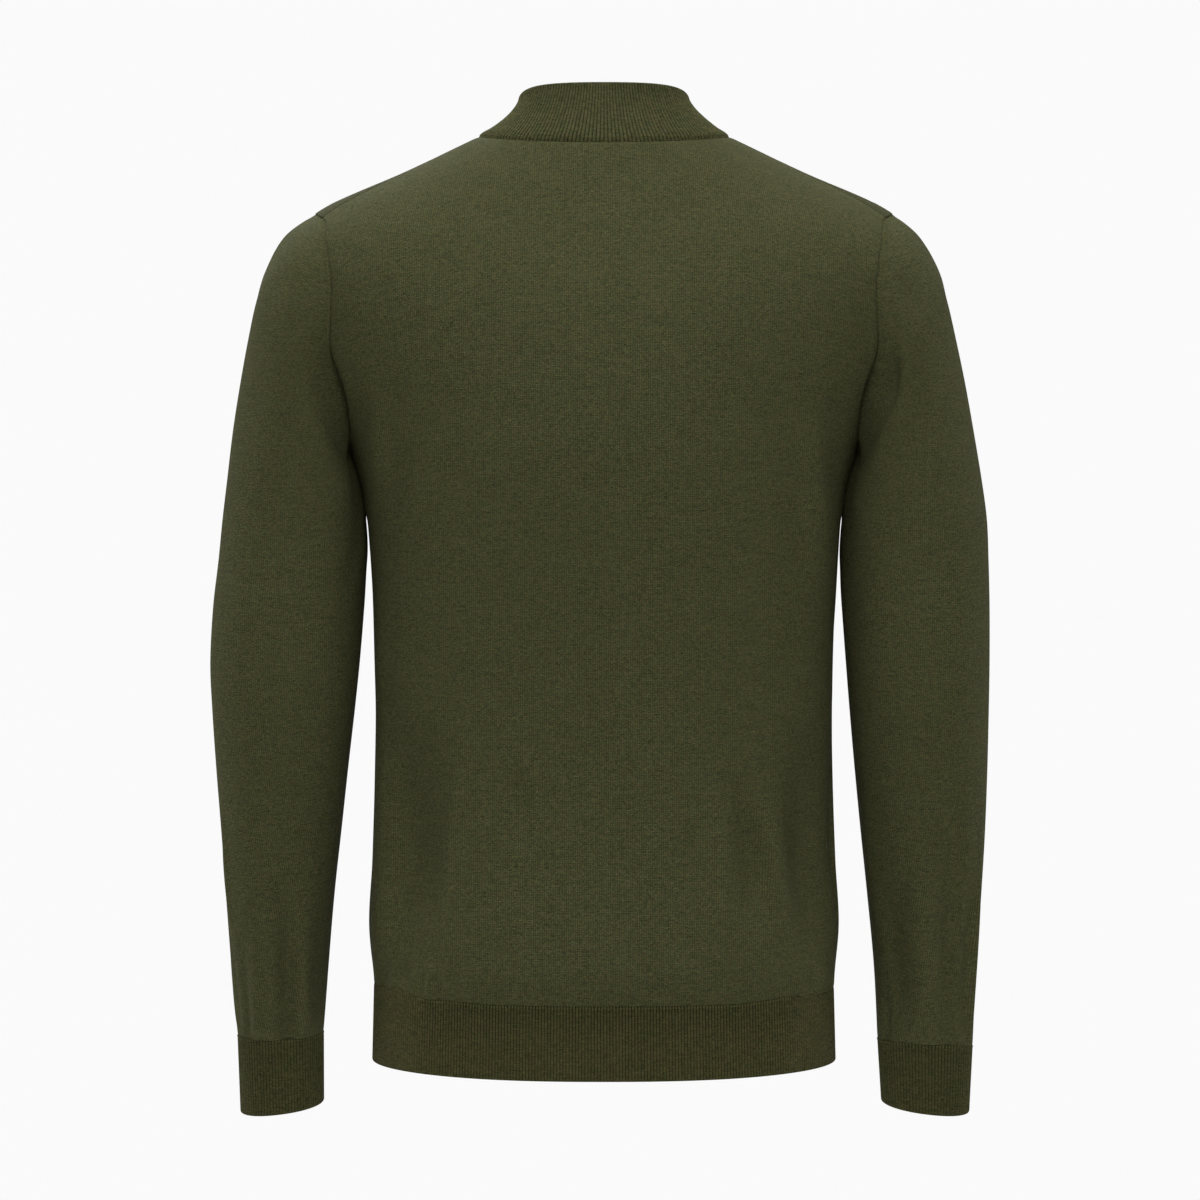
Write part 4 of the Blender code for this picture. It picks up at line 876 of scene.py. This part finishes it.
sewing = {
    "length": 0.0024, "gap": 0.0006, "radius": 0.00022, "flatness": 1.25, "lift": 0.3, "fromEdge": 0.0030,
    "probe": 0.0004, "onRibs": 0.8, "tackHalf": 0.0062, "tackCount": 30, "tackBelow": 0.0012, "tackOut": 0.0001,
    "tackSize": (0.00024, 0.00030, 0.0011),
}


def slitStitches(name, side):
    # one line of stitches beside the slit and up the collar's front end, each sunk a little at its ends
    place = side * (torsoCut["slitHalfWidth"] + sewing["fromEdge"])
    strip = frontStrip(place + sewing["probe"] * np.array([-1, 0, 1]))
    low = int(np.searchsorted(zipTravel, slitFoot))
    line, out = strip[low:-2, 1], gridNormals(strip)[low:-2, 1]
    onCollar = np.arange(len(line)) > zipCut["rows"] - low + 2
    line = line + out * (onCollar * ribKnit["height"] * sewing["onRibs"])[:, None]
    travel, half, radius = travelOf(line), sewing["length"] / 2, sewing["radius"]
    places = np.arange(half, travel[-1] - half, sewing["length"] + sewing["gap"])
    centres, ahead, behind = (interpolated(places + step, travel, line) for step in (0, half, -half))
    up, facing = unit(ahead - behind), unit(interpolated(places, travel, out))
    across = unit(np.cross(up, facing))
    centres = centres + facing * radius * sewing["lift"]
    sizes = (radius * sewing["flatness"], radius, half)
    return manyOf(name, blob(6, 8, 2.2), centres, (across, np.cross(up, across), up), sizes)


stitches = [slitStitches("slit_stitches_" + hand, side) for hand, side in bothSides]
tack = np.linspace(-sewing["tackHalf"], sewing["tackHalf"], sewing["tackCount"])
tackPlaces = np.full(len(tack), slitFoot - sewing["tackBelow"])
barTack = alongZip("slit_bar_tack", blob(6, 8, 2.2), tackPlaces, tack, sewing["tackOut"], sewing["tackSize"])

linkCut = {"size": np.array([0.00066, 0.00042, 0.00085]), "lean": 0.25, "leanTurns": 0.9, "stretchedFrom": 0.5}


def linkedRow(name, seam, away, drop, lift, where=True, scale=1.0):
    # one loop on each rib in a row beside the seam, where the band was linked on and isn't stretched
    line, out = seam
    step = ribKnit["columnsPerRib"]
    picked = np.flatnonzero(where & (np.arange(len(line)) % step == step // 2))
    along = unit(np.roll(line, -1, axis=0) - np.roll(line, 1, axis=0))[picked]
    facing, way = out[picked], np.broadcast_to(away, line.shape)[picked]
    across = unit(np.cross(way, facing))
    way = unit(way + along * linkCut["lean"] * np.sin(picked * linkCut["leanTurns"])[:, None])
    centres = line[picked] + way * drop + facing * lift
    return manyOf(name, blob(5, 8, 2.3), centres, (across, facing, np.cross(across, facing)), linkCut["size"] * scale)


down = np.array([0.0, 0.0, -1.0])
onHem = hemStretched[0] < linkCut["stretchedFrom"]
linkedRows = [linkedRow("hem_links", hemLine, down, 0.0012, 0.00012, where=onHem)]
linkedRows += [linkedRow("cuff_links_" + hand, cuffLines[hand], down, 0.0011, 0.0, scale=0.8) for hand in cuffs]
linkedRows.append(linkedRow("collar_links", collarLine, unit(collarTop(collarBase) - collarBase), 0.0008, -0.0002))

markCut = {"pitch": 0.0030, "from": 0.34, "to": 1.62, "fromSeam": 0.0020, "size": (0.00050, 0.00046, 0.0014)}


def fashioningMarks(name, surface, turn, first, last):
    # slanting raised loops right beside the armhole, where the sleeve was linked on
    inOrder = np.argsort(turn)
    inOrder = inOrder[(turn[inOrder] > first) & (turn[inOrder] < last)]
    edge, normals = surface[-1, inOrder], gridNormals(surface, closed=True)[-4, inOrder]
    travel, fromSeam = travelOf(edge), np.array([markCut["fromSeam"]])
    places = np.arange(0.0, travel[-1], markCut["pitch"])
    lines = surface[::-1, inOrder].transpose(1, 0, 2)
    beside = np.array([interpolated(fromSeam, travelOf(line), line)[0] for line in lines])
    centres, seam, facing = (interpolated(places, travel, points) for points in (beside, edge, normals))
    facing = unit(facing)
    way = unit(unit(np.gradient(centres, axis=0)) + unit(centres - seam))
    way = unit(way - facing * (way * facing).sum(axis=1, keepdims=True))
    return manyOf(name, blob(6, 8, 2.0), centres, (np.cross(way, facing), facing, way), markCut["size"])


marks = []
for hand, (surface, turn) in sleeveSurfaces.items():
    first, last = markCut["from"], markCut["to"]
    marks.append(fashioningMarks("sleeve_marks_back_" + hand, surface, turn, first, last))
    marks.append(fashioningMarks("sleeve_marks_front_" + hand, surface, turn, 2 * np.pi - last, 2 * np.pi - first))
print("sewing done")


# materials

class Value:
    # a socket that Python's operators can be used on; each one adds a Math node
    def __init__(self, look, socket):
        self.look, self.socket = look, socket

    def maths(self, operation, *others):
        return self.look.node("ShaderNodeMath", {"operation": operation}, self, *others)

    def __rsub__(self, other):
        return self.look.node("ShaderNodeMath", {"operation": "SUBTRACT"}, other, self)

    def held(self, most=1.0):
        return self.look.node("ShaderNodeClamp", {}, self, 0.0, most)

    def beside(self, output):
        # another output of the same node
        return Value(self.look, self.socket.node.outputs[output])


def mathsMethod(operation):
    return lambda value, *others: value.maths(operation, *others)


for method, operation in (
    ("__add__", "ADD"), ("__radd__", "ADD"), ("__sub__", "SUBTRACT"), ("__mul__", "MULTIPLY"),
    ("__rmul__", "MULTIPLY"), ("__truediv__", "DIVIDE"), ("__pow__", "POWER"), ("__abs__", "ABSOLUTE"),
    ("fraction", "FRACT"), ("whole", "FLOOR"),
):
    setattr(Value, method, mathsMethod(operation))


class Look:
    # a material: constants go straight on its shader's sockets, and node() adds any other node
    def __init__(self, name, **constants):
        self.material = bpy.data.materials.new(name)
        self.material.use_nodes = True
        self.tree = self.material.node_tree
        self.shader = self.tree.nodes["Principled BSDF"]
        for socket, value in constants.items():
            self.shader.inputs[socket.replace("_", " ")].default_value = value

    def give(self, socket, value):
        if isinstance(value, Value):
            self.tree.links.new(value.socket, socket)
        elif value is not None:
            socket.default_value = value

    def node(self, kind, settings, *values, output=0, **named):
        made = self.tree.nodes.new(kind)
        for name, value in settings.items():
            setattr(made, name, value)
        for socket, value in zip(made.inputs, values):
            self.give(socket, value)
        for name, value in named.items():
            self.give(made.inputs[name], value)
        return Value(self, made.outputs[output])

    def place(self):
        return self.node("ShaderNodeTexCoord", {}, output=3)

    def apart(self, vector):
        x = self.node("ShaderNodeSeparateXYZ", {}, vector)
        return x, x.beside(1), x.beside(2)

    def together(self, x, y, z=0.0):
        return self.node("ShaderNodeCombineXYZ", {}, x, y, z)

    def noise(self, vector, scale, detail=2.0, roughness=0.5):
        return self.node("ShaderNodeTexNoise", {}, Vector=vector, Scale=scale, Detail=detail, Roughness=roughness)

    def bump(self, strength, distance, height):
        return self.node("ShaderNodeBump", {}, Strength=strength, Distance=distance, Height=height)

    def blend(self, amount, first, second, kind="MIX"):
        # the colours are the node's seventh and eighth inputs
        settings = {"data_type": "RGBA", "blend_type": kind}
        return self.node("ShaderNodeMix", settings, amount, *[None] * 5, first, second, output=2)

    def tint(self, colour, by):
        return self.blend(1.0, colour, by, "MULTIPLY")

    def finish(self, **links):
        for socket, value in links.items():
            self.give(self.shader.inputs[socket.replace("_", " ")], value)
        return self.material


knitLook = {
    "wale": 0.00157, "course": 0.00122, "ribWidth": 0.0022, "legClimb": 0.62,
    "light": (0.0458, 0.0470, 0.0212, 1), "dark": (0.0103, 0.0105, 0.0036, 1), "fleck": (0.0700, 0.0710, 0.0380, 1),
    "warm": (1.025, 0.995, 0.95, 1), "cool": (0.975, 1.005, 1.03, 1), "melange": 0.14,
    "bump": 0.00030, "sheen": 0.003, "sheenTint": (0.75, 0.74, 0.42, 1),
    # the yarn's noises: scale round, scale up, detail, roughness, and share of the tone
    "noises": [
        (1250.0, 1600.0, 2.0, 0.65, 2.30),  # fibres
        (260.0, 1500.0, 2.0, 0.6, 1.15), (42.0, 520.0, 3.0, 0.6, 0.50),  # streaks along the courses
        (18.0, 30.0, 2.0, 0.5, 0.10),  # broad clouds
    ],
    # the first two below are painted shade: how much darker the grooves between the loop legs and between the wales
    # are painted
    "hue": (320.0, 420.0, 7.0), "loopShade": 0.24, "furrowShade": 0.34, "eachTone": 0.24, "toneLess": 2.085,
    "ribTone": 0.04, "nearSeam": 0.030, "plainMost": 0.85, "fleckFrom": 0.64, "fleckOver": 1 / 6, "fleckMost": 0.5,
    "hueGain": 3.0, "smooth": 0.82, "roughness": 0.12,
}
wrapLook = {
    # the strip on the shoulders: where it fades in, over the depth and over the height, and its painted shade: darker
    # overall, and darker still in stripes along its furrows
    "depthFrom": -0.0120, "depthOver": 0.0280, "heightFrom": -0.078, "heightOver": 0.016,
    "wale": 0.0016, "toneAndShade": 0.05, "furrow": 0.42,
}


def fromMiddle(x):
    # 0 in the middle of a wale, rib or strip and 1 at its edges
    return abs(x.fraction() - 0.5) * 2


def knitMaterial(name, settings, ribbed=False, plainSides=False, wrapped=False):
    look = Look(name, Roughness=0.88, Sheen_Weight=settings["sheen"], Sheen_Roughness=0.5, Specular_IOR_Level=0.02)
    look.shader.inputs["Sheen Tint"].default_value = settings["sheenTint"]
    u, v, _ = look.apart(look.node("ShaderNodeUVMap", {"uv_map": "cloth"}))
    x, y = u if ribbed else u / settings["wale"], v / settings["course"]
    metres = u * settings["ribWidth"] if ribbed else u
    # V loops: each wale has two legs that climb from its middle; a leg's height is a bell across the yarn
    across = fromMiddle(x)
    furrow = 1 - across**5
    loop = (1 - fromMiddle(y + across * settings["legClimb"]) ** 2.2) * furrow
    # every loop a little lighter or darker
    whole = look.together(x.whole(), y.whole())
    each = look.node("ShaderNodeTexWhiteNoise", {"noise_dimensions": "2D"}, Vector=whole)
    # painted shade: the colour is darker in the grooves between the loop legs and between the wales, where shade
    # falls; the loop shape also drives the bump below
    toneAndShade = loop * settings["loopShade"] + furrow * settings["furrowShade"] + each * settings["eachTone"]
    noises = []
    for scaleRound, scaleUp, detail, roughness, share in settings["noises"]:
        place = look.together(metres * scaleRound, v * scaleUp)
        noises.append(look.noise(place, 1.0, detail, roughness))
        toneAndShade = toneAndShade + noises[-1] * share
    toneAndShade, grain = toneAndShade - settings["toneLess"], noises[0]
    if ribbed:
        # painted shade: the furrows are painted darker, more beside the seam where the panel's edge overhangs the
        # band, and less where the hem band is stretched
        nearSeam = (1 - v / settings["nearSeam"]).held()
        shade = (settings["furrow"] + settings["seamFurrowShade"] * nearSeam) * across**2.5
        if plainSides:
            sideways = (abs(look.apart(look.place())[0]) - ribKnit["smoothFrom"]) / ribKnit["smoothOver"]
            shade = shade * (1 - sideways.held(settings["plainMost"]))
        toneAndShade = toneAndShade + settings["ribTone"] - shade
    if wrapped:
        # where the front reaches over the shoulders, its deep furrows lie along the seam; painted shade darkens the
        # strip, more in stripes where the furrows are
        _, depth, height = look.apart(look.place())
        strip = ((depth - wrapLook["depthFrom"]) / wrapLook["depthOver"]).held()
        strip = strip * ((height - wrapLook["heightFrom"]) / wrapLook["heightOver"]).held()
        furrows = fromMiddle(depth / wrapLook["wale"]) ** 2
        toneAndShade = toneAndShade - (wrapLook["toneAndShade"] + wrapLook["furrow"] * furrows) * strip
    colour = look.blend(toneAndShade.held(), settings["dark"], settings["light"])
    flecks = ((grain - settings["fleckFrom"]) / settings["fleckOver"]).held()
    colour = look.blend(flecks * settings["fleckMost"], colour, settings["fleck"])
    scaleRound, scaleUp, offset = settings["hue"]
    hue = look.noise(look.together(metres * scaleRound, v * scaleUp, offset), 1.0)
    hue = ((hue - 0.5) * settings["hueGain"] + 0.5).held()
    colour = look.tint(colour, look.blend(hue, settings["warm"], settings["cool"]))
    colour = look.tint(colour, look.blend(settings["melange"], (1.0, 1.0, 1.0, 1.0), each.beside("Color")))
    bump = look.bump(0.9, settings["bump"], loop * 0.8 + grain * 0.5 + each * 0.25)
    roughness = grain * settings["roughness"] + settings["smooth"]
    return look.finish(Base_Color=colour, Roughness=roughness, Normal=bump)


ribLook = {
    **knitLook, "light": (0.0438, 0.0442, 0.0196, 1), "dark": (0.0082, 0.0083, 0.0028, 1), "bump": 0.00024,
    # the two below: painted shade in the rib furrows, and more of it beside the seam
    "furrow": 0.20, "seamFurrowShade": 0.18,
}
deepLook = {**ribLook, "light": (0.0374, 0.0364, 0.0148, 1), "dark": (0.0069, 0.0068, 0.0022, 1)}
# less painted shade in the cuffs' rib furrows
closeLook = {**deepLook, "light": (0.0338, 0.0333, 0.0136, 1), "furrow": 0.08, "seamFurrowShade": 0.08}
# painted highlight: the linking loops and fashioning marks are the same yarn, painted lighter where they stand up and
# catch the light
linkHighlightLook = {**knitLook, "light": (0.0640, 0.0650, 0.0290, 1), "dark": (0.0300, 0.0305, 0.0110, 1)}
bodyKnit = knitMaterial("olive jersey knit", knitLook)
frontKnitShoulderShade = knitMaterial("olive jersey knit, wrapped", knitLook, wrapped=True)
collarKnit = knitMaterial("olive rib knit", ribLook, ribbed=True)
cuffKnit = knitMaterial("olive rib knit, close", closeLook, ribbed=True)
hemKnit = knitMaterial("olive rib knit, stretched at the sides", deepLook, ribbed=True, plainSides=True)
linkKnitPaintedHighlight = knitMaterial("olive linking loops", linkHighlightLook)


def tapeMaterial(turnOver=0.0030, pitch=0.00075):
    # herringbone weave: a slanting twill that turns over every millimetre and a half
    look = Look("zip tape weave", Roughness=0.75, Sheen_Weight=0.1)
    u, v, _ = look.apart(look.node("ShaderNodeUVMap", {"uv_map": "cloth"}))
    zigzag = abs((u / turnOver).fraction() - 0.5) * turnOver
    woven = 1 - fromMiddle((v + zigzag) / pitch) ** 2
    fine = look.noise(look.together(u * 1500, v * 1500), 1.0, 2.0)
    colour = look.blend(woven * 0.7 + fine * 0.3, (0.0120, 0.0125, 0.0060, 1), (0.0380, 0.0390, 0.0190, 1))
    bump = look.bump(0.8, 0.00015, woven + fine * 0.3)
    return look.finish(Base_Color=colour, Roughness=fine * 0.2 + 0.65, Normal=bump)


def metalMaterial(name, colour, low, high, wear):
    # brushed and a little worn: fine streaks in the roughness, darker in patches
    look = Look(name, Metallic=1.0)
    place = look.place()
    fine, patches = look.noise(place, 2600.0, 3.0, 0.6), look.noise(place, 420.0, 2.0, 0.5)
    shade = look.blend(patches, (*(value * wear for value in colour[:3]), 1), colour)
    return look.finish(Base_Color=shade, Roughness=fine * (high - low) + low, Normal=look.bump(0.25, 0.00005, fine))


def threadMaterial():
    # twisted thread: fine fibres from a noise in the object's own coordinates
    look = Look("olive sewing thread", Roughness=0.55, Sheen_Weight=0.15)
    fine = look.noise(look.place(), 3200.0, 2.0, 0.5)
    colour = look.blend(fine, (0.0300, 0.0310, 0.0130, 1), (0.0720, 0.0730, 0.0330, 1))
    return look.finish(Base_Color=colour, Normal=look.bump(0.5, 0.00006, fine))


tapeWeave, thread = tapeMaterial(), threadMaterial()
nickel = metalMaterial("dull nickel", (0.46, 0.43, 0.38, 1), 0.26, 0.42, 0.72)
print("materials made")


# what each piece stands for

pieces = [
    # the piece, its node, slot and material, and a cloth piece's cut laid flat: width and length in metres, and
    # its area where it isn't a rectangle
    (backPanel, "back_panel", "knit", bodyKnit, (0.490, 0.640, 0.278)),
    (frontPanel, "front_panel", "knit", frontKnitShoulderShade, (0.490, 0.640, 0.284)),
    (sleeves["left"], "sleeve_left", "knit", bodyKnit, (0.400, 0.640, 0.160)),
    (sleeves["right"], "sleeve_right", "knit", bodyKnit, (0.400, 0.640, 0.160)),
    (collar, "collar", "rib", collarKnit, (0.410, 0.060, None)),
    (hemBand, "hem_band", "rib", hemKnit, (0.920, 0.055, None)),
    (cuffs["left"], "cuff_left", "rib", cuffKnit, (0.190, 0.051, None)),
    (cuffs["right"], "cuff_right", "rib", cuffKnit, (0.190, 0.051, None)),
    (tapes["left"], "zip_tape_left", "tape", tapeWeave, (0.0100, 0.290, None)),
    (tapes["right"], "zip_tape_right", "tape", tapeWeave, (0.0100, 0.290, None)),
    (teeth, "zip_chain", "zip_metal", nickel, None), (slider, "zip_slider", "zip_metal", nickel, None),
    (pullTab, "zip_pull_tab", "zip_metal", nickel, None), (stop, None, "zip_metal", nickel, None),
    *((row, None, "tape", thread, None) for row in (barTack, *stitches)),
    # the fashioning marks and linked rows take the lighter knit, a painted highlight
    *((row, None, "knit", linkKnitPaintedHighlight, None) for row in marks),
    *((row, None, "rib", linkKnitPaintedHighlight, None) for row in linkedRows),
]
for piece, node, slot, material, cut in pieces:
    piece.data.materials.append(material)
    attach(piece, "pull_tab" if piece is pullTab else "garment")
    if node:
        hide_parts(node)
    if cut:
        width, length, area = cut


# camera, light and floor

view = {"place": (0.0029, 3.0, -0.340), "lens": 122.4, "sensor": 36.0}
camera = bpy.data.cameras.new("camera")
camera.lens, camera.sensor_width = view["lens"], view["sensor"]
cameraStand = bpy.data.objects.new("camera", camera)
cameraStand.location = view["place"]
cameraStand.rotation_euler = Vector((0.0, -1.0, 0.0)).to_track_quat("-Z", "Y").to_euler()
bpy.context.scene.collection.objects.link(cameraStand)
bpy.context.scene.camera = cameraStand

studio = {
    "world": 0.956, "worldLight": 0.66,  # what the camera sees round the object, and what lights it
    "lamps": [
        # name, place, looks at, width, height, power
        ("high lamp", (-0.1, 2.5, 1.3), (0.0, 0.0, -0.30), 1.4, 1.0, 88.0),
        ("top lamp", (0.1, 0.4, 2.4), (0.0, 0.0, -0.10), 1.6, 0.8, 134.0),
        ("left lamp", (2.5, -1.0, 0.1), (0.0, 0.0, -0.30), 0.9, 1.6, 74.0),
        ("right lamp", (-2.5, -1.0, 0.1), (0.0, 0.0, -0.30), 0.9, 1.6, 56.0),
        ("front lamp", (0.6, -2.0, 2.0), (0.0, 0.0, -0.30), 1.8, 1.8, 110.0),
    ],
}
for name, place, target, width, height, power in studio["lamps"]:
    lamp = bpy.data.lights.new(name, "AREA")
    lamp.shape, lamp.size, lamp.size_y, lamp.energy = "RECTANGLE", width, height, power
    stand = bpy.data.objects.new(name, lamp)
    stand.location = place
    stand.rotation_euler = (Vector(target) - Vector(place)).to_track_quat("-Z", "Y").to_euler()
    bpy.context.scene.collection.objects.link(stand)

world = bpy.data.worlds.new("white room")
world.use_nodes = True
nodes, links = world.node_tree.nodes, world.node_tree.links
shades = []
for brightness in (studio["worldLight"], studio["world"]):
    shade = nodes.new("ShaderNodeBackground")
    shade.inputs["Color"].default_value = (brightness, brightness, brightness, 1)
    shades.append(shade)
choice = nodes.new("ShaderNodeMixShader")
links.new(nodes.new("ShaderNodeLightPath").outputs["Is Camera Ray"], choice.inputs[0])
links.new(shades[0].outputs[0], choice.inputs[1])
links.new(shades[1].outputs[0], choice.inputs[2])
links.new(choice.outputs[0], nodes["World Output"].inputs["Surface"])
bpy.context.scene.world = world
bpy.context.scene.view_settings.view_transform = "Standard"

floorCut = {"z": -1.42, "halfSize": 6.0, "points": 13, "fadeFrom": 1.2, "fadeTo": 3.2}
floorPlaces = np.linspace(-floorCut["halfSize"], floorCut["halfSize"], floorCut["points"])
floorX, floorY = np.meshgrid(floorPlaces, floorPlaces)
floorGrid = np.stack([floorX, floorY, np.full_like(floorX, floorCut["z"])], axis=-1)
floor = gridPiece("floor", floorGrid, floorGrid[..., :2])
look = Look("pale floor", Roughness=0.9, Specular_IOR_Level=0.1)
place = look.place()
look.finish(Base_Color=look.blend(look.noise(place, 60.0, 2.0), (0.86, 0.86, 0.86, 1), (0.90, 0.90, 0.90, 1)))
x, y, _ = look.apart(place)
away = (x * x + y * y) ** 0.5
fade = ((away - floorCut["fadeFrom"]) / (floorCut["fadeTo"] - floorCut["fadeFrom"])).held()
mix = look.tree.nodes.new("ShaderNodeMixShader")
clear = look.tree.nodes.new("ShaderNodeBsdfTransparent")
look.give(mix.inputs[0], fade)
look.tree.links.new(look.shader.outputs[0], mix.inputs[1])
look.tree.links.new(clear.outputs[0], mix.inputs[2])
look.tree.links.new(mix.outputs[0], look.tree.nodes["Material Output"].inputs["Surface"])
floor.data.materials.append(look.material)
print("stage set")
